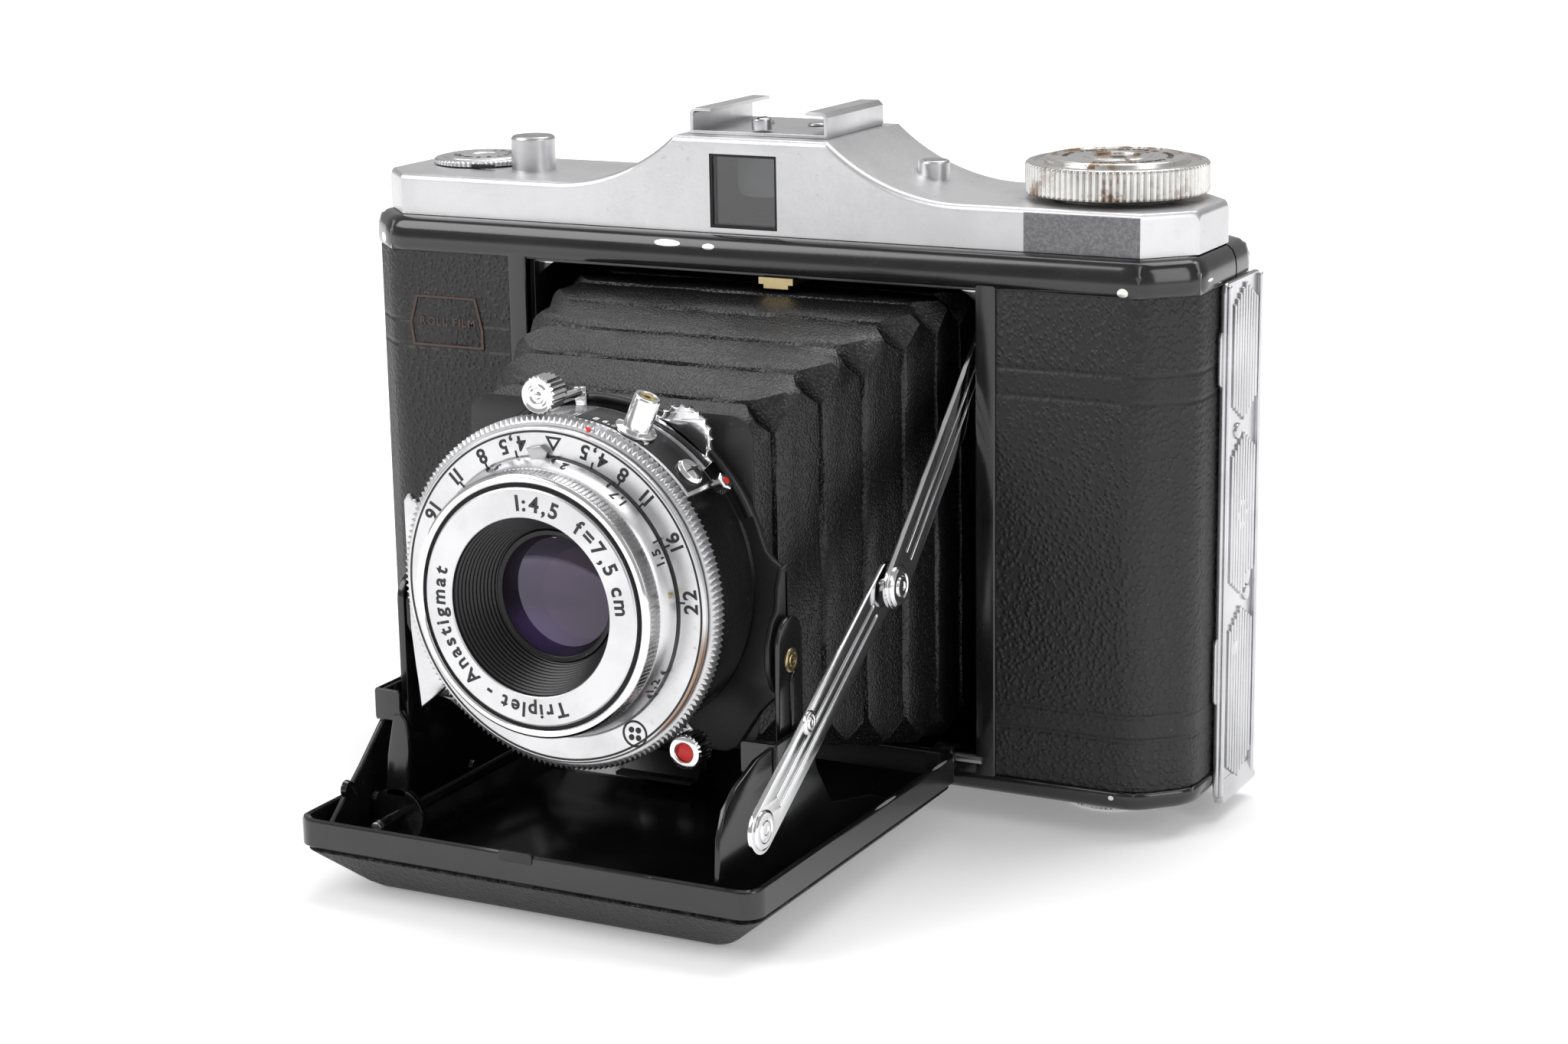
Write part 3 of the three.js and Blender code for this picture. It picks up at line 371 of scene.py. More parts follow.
LOOKS = {
    "enamel": enamel_material(),
    "black": paint("satin_black", (0.008, 0.008, 0.008), 0.38, 900.0, 0.08),
    "inner": paint("matt_black", (0.006, 0.006, 0.006), 0.7, 900.0, 0.05),
    "anodised": paint("black_anodised", (0.011, 0.011, 0.012), 0.33, 1400.0, 0.05, metallic=0.4),
    "plastic": paint("black_plastic", (0.014, 0.014, 0.014), 0.45, 500.0, 0.05),
    # Flat grey for the lighter view seen through the finder: painted light.
    "view_light": paint("painted_finder_light", (0.16, 0.16, 0.165), 0.55, 300.0, 0.02, dust=0.0),
    "ink": paint("engraving_paint", (0.010, 0.010, 0.010), 0.5, 900.0, 0.02, dust=0.1),
    "red": paint("red_paint", (0.55, 0.012, 0.010), 0.4, 900.0, 0.02, dust=0.1),
    "worn": paint("worn_brown_print", (0.055, 0.030, 0.022), 0.5, 900.0, 0.15, dust=0.5),
    "white": paint("white_paint", (0.75, 0.74, 0.72), 0.5, 900.0, 0.02, dust=0.0),
    "leather": leather_material("leatherette", (0.0085, 0.0085, 0.0092), 1250.0, 0.00026,
                                bands=((10.4, 14.6), (59.6, 64.2))),
    "leather_plain": leather_material("leatherette_plain", (0.0085, 0.0085, 0.0092), 1250.0, 0.00026),
    "bellows": leather_material("bellows_leather", (0.0062, 0.0062, 0.0070), 2500.0, 0.00010,
                                rough=0.36, crease=0.30),
    "cover": cover_material(),
    "strip": metal("strip_chrome", (0.62, 0.62, 0.64), 0.22, 1200.0, 0.03, stain=(0.20, 0.13, 0.08),
                   stain_from=0.68, wear=0.08),
    "turned": metal("turned_chrome", (0.60, 0.60, 0.61), 0.36, 1500.0, 0.05, stain=(0.22, 0.15, 0.08),
                    stain_from=0.70),
    "satin": metal("satin_chrome", (0.68, 0.68, 0.69), 0.26, 1800.0, 0.05, stain=(0.20, 0.12, 0.06),
                   stain_from=0.66),
    "dial": dial_material(),
    "knob": metal("knob_metal", (0.72, 0.71, 0.69), 0.30, 1500.0, 0.08, stain=(0.20, 0.11, 0.05),
                  stain_from=0.50),
    "chrome": metal("bright_chrome", (0.86, 0.86, 0.87), 0.11, 1200.0, 0.02, stain=(0.22, 0.15, 0.08),
                    stain_from=0.70, wear=0.06),
    "steel": metal("steel", (0.50, 0.50, 0.51), 0.32, 1300.0, 0.06, stain=(0.14, 0.08, 0.04)),
    "brass": metal("brass", (0.62, 0.50, 0.27), 0.34, 1300.0, 0.08, stain=(0.10, 0.06, 0.03)),
    "clear_glass": glass_material("clear_glass", (0.96, 0.97, 0.98)),
    "lens_glass": lens_material(),
    "red_glass": glass_material("red_glass", (0.65, 0.03, 0.02), 0.08),
}


# ------------------------------------------------------------------ mesh helpers
def shade(mesh, angle):
    """Smooth faces, with a sharp edge wherever two faces meet at more than the angle."""
    bm = bmesh.new()
    bm.from_mesh(mesh)
    limit = math.radians(angle)
    for face in bm.faces:
        face.smooth = True
    for edge in bm.edges:
        if len(edge.link_faces) == 2:
            edge.smooth = edge.calc_face_angle(0.0) < limit
    bm.to_mesh(mesh)
    bm.free()


def add(name, mesh, body, look, replaces=(), angle=32.0, weighted=False):
    """Links a mesh already in the part's frame, gives it its look and its body."""
    obj = bpy.data.objects.new(name, mesh)
    bpy.context.scene.collection.objects.link(obj)
    mesh.materials.clear()
    mesh.materials.append(LOOKS[look])
    shade(mesh, angle)
    if weighted:
        modifier = obj.modifiers.new("even_normals", "WEIGHTED_NORMAL")
        modifier.keep_sharp = True
    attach(obj, body)
    if replaces:
        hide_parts(*replaces)
    return obj


def mesh_of(name, points, faces, convert=True):
    """A mesh from table points, welded and with its normals outward."""
    mesh = bpy.data.meshes.new(name)
    mesh.from_pydata([at(*p) if convert else p for p in points], [], faces)
    bm = bmesh.new()
    bm.from_mesh(mesh)
    bmesh.ops.remove_doubles(bm, verts=bm.verts, dist=1e-6)
    bmesh.ops.dissolve_degenerate(bm, edges=bm.edges, dist=1e-7)
    bmesh.ops.recalc_face_normals(bm, faces=bm.faces)
    bm.to_mesh(mesh)
    bm.free()
    return mesh


def merged(name, meshes):
    """One mesh from several."""
    bm = bmesh.new()
    for mesh in meshes:
        bm.from_mesh(mesh)
    out = bpy.data.meshes.new(name)
    bm.to_mesh(out)
    bm.free()
    return out


AXES = {
    "X": Matrix(((0, 0, 1), (1, 0, 0), (0, 1, 0))),
    "Y": Matrix(((1, 0, 0), (0, 0, -1), (0, 1, 0))),
    "Z": Matrix(((1, 0, 0), (0, 1, 0), (0, 0, 1))),
}


def plate(name, outlines, axis, low, high, bevel=0.15, steps=2):
    """A flat plate with rounded edges. The outlines, the first outside and the rest holes,
    are in the plane across the axis: (y, z) for X, (x, z) for Y and (x, y) for Z."""
    curve = bpy.data.curves.new(name, "CURVE")
    curve.dimensions = "2D"
    curve.fill_mode = "BOTH"
    curve.extrude = (high - low) / 2 - bevel
    curve.bevel_depth = bevel
    curve.bevel_resolution = steps
    curve.offset = -bevel
    for outline in outlines:
        spline = curve.splines.new("POLY")
        spline.points.add(len(outline) - 1)
        for point, (u, v) in zip(spline.points, outline):
            point.co = (u, v, 0.0, 1.0)
        spline.use_cyclic_u = True
    holder = bpy.data.objects.new(name, curve)
    bpy.context.scene.collection.objects.link(holder)
    bpy.context.view_layer.update()
    mesh = bpy.data.meshes.new_from_object(holder.evaluated_get(bpy.context.evaluated_depsgraph_get()))
    bpy.data.objects.remove(holder)
    bpy.data.curves.remove(curve)
    turn = AXES[axis].to_4x4()
    middle = {"X": Vector(((low + high) / 2, 0, 0)), "Y": Vector((0, (low + high) / 2, 0)),
              "Z": Vector((0, 0, (low + high) / 2))}[axis]
    bm = bmesh.new()
    bm.from_mesh(mesh)
    for vert in bm.verts:
        vert.co = at(*(turn @ vert.co + middle))
    bmesh.ops.remove_doubles(bm, verts=bm.verts, dist=2e-6)
    bmesh.ops.recalc_face_normals(bm, faces=bm.faces)
    bm.to_mesh(mesh)
    bm.free()
    mesh.name = name
    return mesh


def arc(cx, cy, radius, start, end, steps):
    """Points along an arc, angles in degrees."""
    out = []
    for i in range(steps + 1):
        a = math.radians(start + (end - start) * i / steps)
        out.append((cx + radius * math.cos(a), cy + radius * math.sin(a)))
    return out


def circle(cx, cy, radius, steps=48):
    return arc(cx, cy, radius, 0, 360 - 360 / steps, steps - 1)


def rectangle(x0, x1, y0, y1, r=0.6, n=5):
    """A rectangle with round corners."""
    return (arc(x0 + r, y0 + r, r, 180, 270, n) + arc(x1 - r, y0 + r, r, 270, 360, n)
            + arc(x1 - r, y1 - r, r, 0, 90, n) + arc(x0 + r, y1 - r, r, 90, 180, n))


def link_outline(a, b, radius, n=14):
    """A bar with round ends about two points."""
    angle = math.degrees(math.atan2(b[1] - a[1], b[0] - a[0]))
    return (arc(*a, radius, angle + 90, angle + 270, n) + arc(*b, radius, angle - 90, angle + 90, n))


def softened(profile, radius=0.15, steps=3):
    """Rounds the corners of a turned profile."""
    out = []
    count = len(profile)
    for i, point in enumerate(profile):
        p = Vector(point)
        a = Vector(profile[i - 1]) - p
        b = Vector(profile[(i + 1) % count]) - p
        on_axis = p.x < 1e-6
        if on_axis or a.length < 1e-6 or b.length < 1e-6 or a.normalized().dot(b.normalized()) < -0.94:
            out.append(tuple(p))
            continue
        reach = min(radius, a.length * 0.42, b.length * 0.42)
        start, end = p + a.normalized() * reach, p + b.normalized() * reach
        for k in range(steps + 1):
            t = k / steps
            out.append(tuple(start * (1 - t) ** 2 + p * 2 * t * (1 - t) + end * t ** 2))
    return out


def lathe(name, profile, axis, centre, segments=96, soft=0.15, wave=None):
    """Turns a closed (radius, height) profile about an axis through the centre. wave(angle,
    radius, height) may return a changed radius."""
    loop = softened(profile, soft) if soft else profile
    points, faces = [], []
    n = len(loop)
    for s in range(segments):
        a = 2 * math.pi * s / segments
        for r, h in loop:
            rr = wave(a, r, h) if wave else r
            u, v = rr * math.cos(a), rr * math.sin(a)
            if axis == "Z":
                points.append((centre[0] + u, centre[1] + v, h))
            elif axis == "Y":
                points.append((centre[0] + u, h, centre[1] + v))
            else:
                points.append((h, centre[0] + u, centre[1] + v))
    for s in range(segments):
        t = (s + 1) % segments
        for i in range(n):
            j = (i + 1) % n
            if loop[i][0] < 1e-6 and loop[j][0] < 1e-6:
                continue
            faces.append((s * n + i, s * n + j, t * n + j, t * n + i))
    return mesh_of(name, points, faces)


def box_mesh(name, x0, x1, y0, y1, z0, z1, bevel=0.15):
    """A block with rounded edges."""
    return plate(name, [rectangle(x0, x1, z0, z1, min(0.3, (x1 - x0) / 3, (z1 - z0) / 3), 3)],
                 "Y", y0, y1, bevel)


def rounded_path(points, radius, steps=8):
    """Plan points joined by arcs, as (x, y, nx, ny) with the normal on the right-hand side."""
    out = []
    for i, point in enumerate(points):
        p = Vector(point)
        if i in (0, len(points) - 1):
            q = Vector(points[1]) if i == 0 else Vector(points[-2])
            d = (q - p).normalized() if i == 0 else (p - q).normalized()
            out.append((p.x, p.y, d.y, -d.x))
            continue
        a = (p - Vector(points[i - 1])).normalized()
        b = (Vector(points[i + 1]) - p).normalized()
        start, end = p - a * radius, p + b * radius
        for k in range(steps + 1):
            t = k / steps
            q = start * (1 - t) ** 2 + p * 2 * t * (1 - t) + end * t ** 2
            d = (a * (1 - t) + b * t).normalized()
            out.append((q.x, q.y, d.y, -d.x))
    return out


def sweep(name, path, profile):
    """Moves a closed (outward, z) profile along a plan path."""
    points, faces = [], []
    n = len(profile)
    for x, y, nx, ny in path:
        for out, z in profile:
            points.append((x + nx * out, y + ny * out, z))
    for s in range(len(path) - 1):
        for i in range(n):
            j = (i + 1) % n
            faces.append((s * n + i, s * n + j, (s + 1) * n + j, (s + 1) * n + i))
    faces.append(tuple(range(n)))
    faces.append(tuple(range((len(path) - 1) * n, len(path) * n))[::-1])
    return mesh_of(name, points, faces)


def loops(name, rings, cap=(True, True)):
    """Joins rings of equally many points, with or without flat ends."""
    n = len(rings[0])
    points = [p for ring in rings for p in ring]
    faces = []
    for s in range(len(rings) - 1):
        for i in range(n):
            j = (i + 1) % n
            faces.append((s * n + i, s * n + j, (s + 1) * n + j, (s + 1) * n + i))
    if cap[0]:
        faces.append(tuple(range(n))[::-1])
    if cap[1]:
        faces.append(tuple(range((len(rings) - 1) * n, len(rings) * n)))
    return mesh_of(name, points, faces)


def glyphs(name, string, size, place, depth=0.03, bold=0.022, spacing=0.19):
    """Letters as meshes, and the length of the line. place(x) gives the matrix, in table
    millimetres, of the letter whose middle is x along the line."""
    meshes = []
    x = 0.0
    for i, letter in enumerate(string):
        if letter == " ":
            x += size * 0.42
            continue
        curve = bpy.data.curves.new(name, "FONT")
        curve.body = letter
        curve.size = size
        curve.extrude = depth
        curve.offset = bold * size
        curve.resolution_u = 4
        holder = bpy.data.objects.new(name, curve)
        bpy.context.scene.collection.objects.link(holder)
        bpy.context.view_layer.update()
        mesh = bpy.data.meshes.new_from_object(holder.evaluated_get(bpy.context.evaluated_depsgraph_get()))
        bpy.data.objects.remove(holder)
        bpy.data.curves.remove(curve)
        if not len(mesh.vertices):
            continue
        xs = [v.co.x for v in mesh.vertices]
        width = max(xs) - min(xs)
        mesh.transform(Matrix.Translation((-(min(xs) + max(xs)) / 2, -size * 0.35, 0)))
        matrix = place(x + width / 2)
        for vert in mesh.vertices:
            vert.co = at(*(matrix @ vert.co))
        meshes.append(mesh)
        x += width + size * spacing
    return meshes, x


def dial_place(radius, start, y, inward, slope=0.0):
    """Puts letters round the lens on the plane y. start is the angle, from +X toward +Z, of
    the line's left end. inward turns the letters' tops to the middle."""
    def place(x):
        if inward:
            a = start + math.degrees(x / radius)
            turn = a + 90
        else:
            a = start - math.degrees(x / radius)
            turn = a - 90
        rad = math.radians(a)
        m = Matrix.Translation((radius * math.cos(rad), y, LENS_Z + radius * math.sin(rad)))
        return (m @ Matrix.Rotation(-math.radians(turn), 4, "Y")
                @ Matrix.Rotation(math.radians(90 - (slope if inward else -slope)), 4, "X"))
    return place


def centred_text(string, size, middle, radius, y, inward, slope=0.0, name="text"):
    """Letters whose line is centred on an angle."""
    _, length = glyphs(name, string, size, lambda x: Matrix.Identity(4))
    half = math.degrees((length - size * 0.16) / 2 / radius)
    start = middle - half if inward else middle + half
    meshes, _ = glyphs(name, string, size, dial_place(radius, start, y, inward, slope))
    return meshes


def tick(angle, r0, r1, y, width=0.28, depth=0.03):
    """A radial mark on the dial plane."""
    a = math.radians(angle)
    u = Vector((math.cos(a), math.sin(a)))
    v = Vector((-math.sin(a), math.cos(a))) * width / 2
    corners = [u * r0 - v, u * r1 - v, u * r1 + v, u * r0 + v]
    return plate("tick", [[(c.x, c.y + LENS_Z) for c in corners]], "Y", y - depth, y + depth, 0.005, 0)


# ------------------------------------------------------------------ body and back
# CAD nodes that keep their own shape and only get a material.
CAD_LOOKS = {
    "enamel": "body_shell back_door",
    "inner": "film_gate finder_barrel shutter_blades",
    "steel": "film_roller_left film_roller_right back_hinge_pin bed_hinge_pin tripod_bush iris",
    "plastic": "takeup_spool supply_spool",
    "black": "pressure_plate",
    "leather_plain": "back_leather",
    "brass": "door_catch",
    "red_glass": "red_window",
    "clear_glass": "finder_eyepiece finder_front_glass",
    "lens_glass": "rear_lens",
}


def badge_pieces():
    """The worn badge pressed into the left-hand leather: a rim, a face and its letters."""
    badge = [(-58.4, 60.0), (-45.4, 60.0), (-45.4, 63.0), (-46.6, 68.0), (-57.6, 68.0), (-58.9, 63.6)]
    face = [(-51.9 + (x + 51.9) * 0.93, 64.0 + (z - 64.0) * 0.90) for x, z in badge]
    add("leather_badge_edge", plate("badge_edge", [badge, face], "Y", -2.62, -2.36, 0.08, 2), "body", "worn")
    add("leather_badge", plate("badge", [face], "Y", -2.5, -2.36, 0.04, 1), "body", "leather_plain")

    def place(x):
        return Matrix.Translation((-56.9 + x, -2.52, 64.0)) @ Matrix.Rotation(math.pi / 2, 4, "X")
    letters, _ = glyphs("badge_text", "ROLL FILM", 1.75, place, 0.05)
    add("leather_badge_text", merged("badge_text", letters), "body", "worn")


def body_pieces():
    """Rims, frame of the opening, leather, badge and the looks of the plain CAD nodes."""
    half, (flat, start) = BODY_HALF, BODY_CHAMFER
    front = rounded_path([(-half, 17.4), (-half, start), (-flat, BODY_FRONT), (flat, BODY_FRONT),
                          (half, start), (half, 17.4)], 2.6)
    back = rounded_path([(half, 17.9), (half, 24.5), (62.5, BODY_BACK), (-62.5, BODY_BACK),
                         (-half, 24.5), (-half, 17.9)], 2.2)
    roll = [(-3.0, 0.0), (-1.8, 0.02), (-0.9, 0.12), (-0.15, 0.5), (0.28, 1.1), (0.46, 1.9),
            (0.46, 2.5), (0.34, 2.85), (0.10, 3.0), (-0.8, 3.05), (-3.0, 3.05)]
    crown = [(n, 80.06 - z * 5.2 / 3.05) for n, z in roll]
    for side, path, body in (("front", front, "body"), ("back", back, "back_door")):
        add(f"rim_bottom_{side}", sweep("rim", path, roll), body, "enamel", angle=40)
        add(f"rim_top_{side}", sweep("rim", path, crown), body, "enamel", angle=40)
    posts = [plate("post", [rectangle(x, x + 3.15, 2.0, 76.0, 0.4)], "Y", -2.72, -0.9, 0.32, 4)
             for x in (-OPEN_X - 3.15, OPEN_X)]
    posts.append(plate("sill", [rectangle(-38, 38, 2.2, OPEN_LOW, 0.4)], "Y", -2.55, -0.9, 0.3, 4))
    add("front_frame", merged("front_frame", posts), "body", "enamel", angle=40)
    lip = [(OPEN_X, OPEN_LOW), (OPEN_X, OPEN_TOP), (-OPEN_X, OPEN_TOP), (-OPEN_X, OPEN_LOW)]
    inner = [(x * 0.985, OPEN_LOW + (z - OPEN_LOW) * 0.985 + 0.5) for x, z in lip]
    add("opening_lining", plate("lining", [lip, inner], "Y", -0.9, 3.0, 0.1, 2), "body", "enamel")
    strip = [(-0.72, 3.08), (-0.05, 3.08), (0.06, 3.3), (0.06, 74.6), (-0.05, 74.84), (-0.72, 74.84)]
    for side, path in (
            ("right", [(40.5, BODY_FRONT), (flat, BODY_FRONT), (half, start), (half, 16.8)]),
            ("left", [(-half, 16.2), (-half, start), (-flat, BODY_FRONT), (-40.5, BODY_FRONT)])):
        add(f"leather_front_{side}", sweep("leather", rounded_path(path, 2.6), strip), "body", "leather",
            (f"leather_{side}",), angle=40)
    badge_pieces()
    for side in (1, -1):
        corner = [(OPEN_X * side, 75.0), ((OPEN_X - 4.6) * side, 75.0), (OPEN_X * side, 71.6)]
        add(f"corner_gusset_{'right' if side > 0 else 'left'}", plate("gusset", [corner], "Y", 0.2, 1.0, 0.12, 2),
            "body", "enamel")
    for look, names in CAD_LOOKS.items():
        for name in names.split():
            node = nodes[name]
            node.data.materials.clear()
            node.data.materials.append(LOOKS[look])
    leaf = [(-26, 28.3), (-22, 28.3), (-10, 26.6), (10, 26.6), (22, 28.3), (26, 28.3),
            (26, 28.0), (22, 28.0), (10, 26.2), (-10, 26.2), (-22, 28.0), (-26, 28.0)]
    spring = add("plate_leaf", plate("leaf", [leaf], "Z", 34, 46, 0.04, 1), "back_door", "steel",
                 ("pressure_spring",))
    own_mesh(spring)


def window_slider():
    """The ribbed slide over the red window."""
    frame_plate = plate("slider", [rectangle(11.8, 24.2, 33.6, 46.4, 1.2)], "Y", 30.12, 30.72, 0.2)
    grips = [plate("grip", [rectangle(x, x + 0.5, 36, 44, 0.2, 3)], "Y", 30.5, 31.1, 0.1)
             for x in (15.6, 16.9, 18.2, 19.5)]
    add("window_cover", merged("window_cover", [frame_plate, *grips]), "window_slider", "satin",
        ("window_slider",))


def latch_strip():
    """The ornamental strip on the right end, with its flutes, rivets, tab and hooks."""
    outline = rectangle(11.3, 26.2, -1.2, 75.4, 1.4)
    parts = [plate("strip", [outline], "X", 68.9, 69.75, 0.25, 3)]
    for side in (11.6, 24.9):
        parts.append(plate("edge", [rectangle(side, side + 1.0, -0.8, 75.0, 0.4)], "X", 69.6, 70.3, 0.25, 3))
    for z0, z1 in ((3.0, 24.0), (31.0, 50.0), (57.0, 72.0)):
        for k in range(9):
            y = 14.2 + k * 1.15
            lift = 2.6 * (1 - abs(k - 4) / 4)
            parts.append(plate("flute", [rectangle(y, y + 0.68, z0 - lift, z1 + lift, 0.25, 3)],
                               "X", 69.6, 70.2, 0.2, 3))
    for z in (20.8, 28.0, 53.2, 30.4):
        parts.append(lathe("rivet", [(0, 69.6), (1.25, 69.6), (1.1, 70.15), (0, 70.3)], "X",
                           (16.8 if z in (20.8, 53.2) else 21.8, z), 24, 0.1))
    for k in range(6):
        a = math.radians(60 * k)
        parts.append(lathe("petal", [(0, 69.6), (0.9, 69.6), (0.6, 70.1), (0, 70.2)], "X",
                           (19.4 + 1.9 * math.cos(a), 40.5 + 1.9 * math.sin(a)), 16, 0.1))
    tab = [(69.0, -1.75), (70.4, -1.75), (70.5, -1.2), (70.2, -0.3), (69.8, 1.4), (69.1, 1.4)]
    parts.append(plate("tab", [tab], "Y", 12.0, 26.2, 0.2, 3))
    parts.append(plate("tab_hook", [[(66.6, -1.75), (69.4, -1.75), (69.4, -0.6), (66.6, -0.6)]], "Y",
                       24.4, 26.2, 0.2, 3))
    for z0, z1 in ((60.5, 68.5), (13.5, 23.5)):
        parts.append(plate("hook", [rectangle(10.6, 14.2, z0, z1, 0.8)], "X", 68.85, 69.4, 0.15, 2))
    add("latch", merged("latch", parts), "latch_strip", "strip", ("latch_strip",), angle=35)


# ------------------------------------------------------------------ top cover
def cover_height(x):
    """Height of the cover's top: level ends, an arc up to the finder and rounded end edges."""
    x = abs(x)
    centre = END_TOP + SHOULDER
    if x >= SHOULDER_END:
        top = END_TOP
    else:
        top = min(centre - math.sqrt(SHOULDER ** 2 - (SHOULDER_END - x) ** 2), FINDER_TOP) \
            if SHOULDER_END - x < SHOULDER else FINDER_TOP
    past = x - (COVER_HALF - COVER_EDGE)
    if past > 0:
        top -= COVER_EDGE - math.sqrt(max(0.0, COVER_EDGE ** 2 - past ** 2))
    return top


def cover_column(x):
    """(y, z) points of the cover's section at x: up the front, over the top, down the back."""
    top = cover_height(x)
    over = max(0.0, abs(x) - COVER_FLAT)
    front = over * COVER_CORNER / (COVER_HALF - COVER_FLAT)
    back = COVER_DEPTH - over * (COVER_DEPTH - COVER_BACK) / (COVER_HALF - COVER_FLAT)
    low = min(top - COVER_EDGE, WINDOW[3])
    turn = [(COVER_EDGE * (1 - math.cos(math.radians(t))), COVER_EDGE * (1 - math.sin(math.radians(t))))
            for t in (0, 22.5, 45, 67.5, 90)]
    return ([(front, COVER_LOW), (front, WINDOW[2]), (front, low)]
            + [(front + inset, top - drop) for inset, drop in turn]
            + [(front + (back - front) * f, top) for f in (0.2, 0.4, 0.6, 0.8)]
            + [(back - inset, top - drop) for inset, drop in turn[::-1]]
            + [(back, low), (back, COVER_LOW)])


def cover_mesh():
    """The cover's skin, with the finder window left open, and the lining of that window."""
    reach = SHOULDER_END - math.sqrt(SHOULDER ** 2 - (SHOULDER - (FINDER_TOP - END_TOP)) ** 2)
    left, right, sill, head = WINDOW
    stations = [reach, 3.0, 0.0, 9.0]
    stations += [reach + (SHOULDER_END - reach) * k / 22 for k in range(1, 23)]
    stations += [38.0, 45.0, 53.0, 60.3, COVER_FLAT, 61.6, 64.0, 66.0]
    stations += [COVER_HALF - COVER_EDGE * (1 - math.sin(math.radians(a))) for a in (0, 22, 45, 68, 90)]
    xs = sorted({round(s * sign, 4) for s in stations for sign in (1, -1)} | {left, right})
    columns = [[(x, y, z) for y, z in cover_column(x)] for x in xs]
    n = len(columns[0])
    points = [p for column in columns for p in column]
    faces = []
    for s in range(len(columns) - 1):
        window = xs[s] >= left - 0.01 and xs[s + 1] <= right + 0.01
        for i in range(n - 1):
            if window and i == 1:
                continue
            faces.append((s * n + i, (s + 1) * n + i, (s + 1) * n + i + 1, s * n + i + 1))
    for s in (0, len(columns) - 1):
        faces.append(tuple(range(s * n, (s + 1) * n)))
    wall = 0.4
    reveal = plate("reveal", [[(left, sill), (right, sill), (right, head), (left, head)],
                              [(left + wall, sill + wall), (right - wall, sill + wall),
                               (right - wall, head - wall), (left + wall, head - wall)]], "Y", 0.1, 1.4, 0.03)
    return mesh_of("cover", points, faces), reveal


def cover_pieces():
    mesh, reveal = cover_mesh()
    add("cover", mesh, "body", "cover", ("top_cover",), angle=24, weighted=True)
    add("finder_frame", reveal, "body", "inner")
    # A grey plate inside the finder: painted light, standing for the bright view seen through its glasses.
    add("finder_image", plate("image", [rectangle(-5.6, 1.4, 84.6, 91.6, 1.8)], "Y", 7.6, 8.0, 0.05),
        "body", "view_light")
    add("eyepiece_ring", plate("eyepiece_ring", [circle(-0.95, 86.4, 5.6), circle(-0.95, 86.4, 3.6)],
                               "Y", 25.2, 26.2, 0.2), "body", "satin")
    wall = [(11.2, 94.22), (11.4, 94.6), (11.4, 97.3), (10.7, SHOE_TOP), (7.8, SHOE_TOP), (7.8, 97.5),
            (10.5, 97.5), (10.8, 97.2), (10.8, 94.75)]
    profile = [(-11.2, 94.22), *wall, *[(-x, z) for x, z in wall[:0:-1]]]
    add("shoe", plate("shoe", [profile], "Y", 3.2, 22.2, 0.12, 3), "body", "turned", ("accessory_shoe",), angle=40)
    pin = [(0, 95.0), (1.5, 95.0), (1.5, 96.6), (1.2, 96.85), (0, 96.85)]
    add("shoe_pin", lathe("pin", pin, "Z", (0, 4.6), 32), "body", "steel", ("shoe_stop_pin",))
    # A matt black bar across the pin's top: painted shade standing for its slot.
    add("shoe_pin_slot", box_mesh("slot", -0.22, 0.22, 3.3, 5.9, 96.7, 96.9, 0.02), "body", "inner")
    for i, (x, y) in enumerate(((-4.4, 14.0), (4.4, 14.0))):
        add(f"shoe_rivet_{i}", lathe("rivet", [(0, 94.9), (1.5, 94.9), (1.2, 95.25), (0, 95.35)], "Z",
                                     (x, y), 28, 0.1), "body", "steel")


# ------------------------------------------------------------------ controls on the cover
def flat_ring_text(string, size, radius, centre, z, start, body, name):
    """Letters lying on the top of a disc, tops outward, clockwise from a start angle."""
    def place(x):
        a = math.radians(start - math.degrees(x / radius))
        m = Matrix.Translation((centre[0] + radius * math.cos(a), centre[1] + radius * math.sin(a), z))
        return m @ Matrix.Rotation(a - math.pi / 2, 4, "Z")
    meshes, _ = glyphs(name, string, size, place, 0.02)
    add(name, merged(name, meshes), body, "ink")


def toothed(teeth, depth, beyond, power=1.0):
    """A lathe wave: teeth of a depth, cut where the radius is beyond a limit."""
    return lambda a, r, h: r - (depth * (0.5 + 0.5 * math.cos(a * teeth)) ** power if r > beyond else 0)


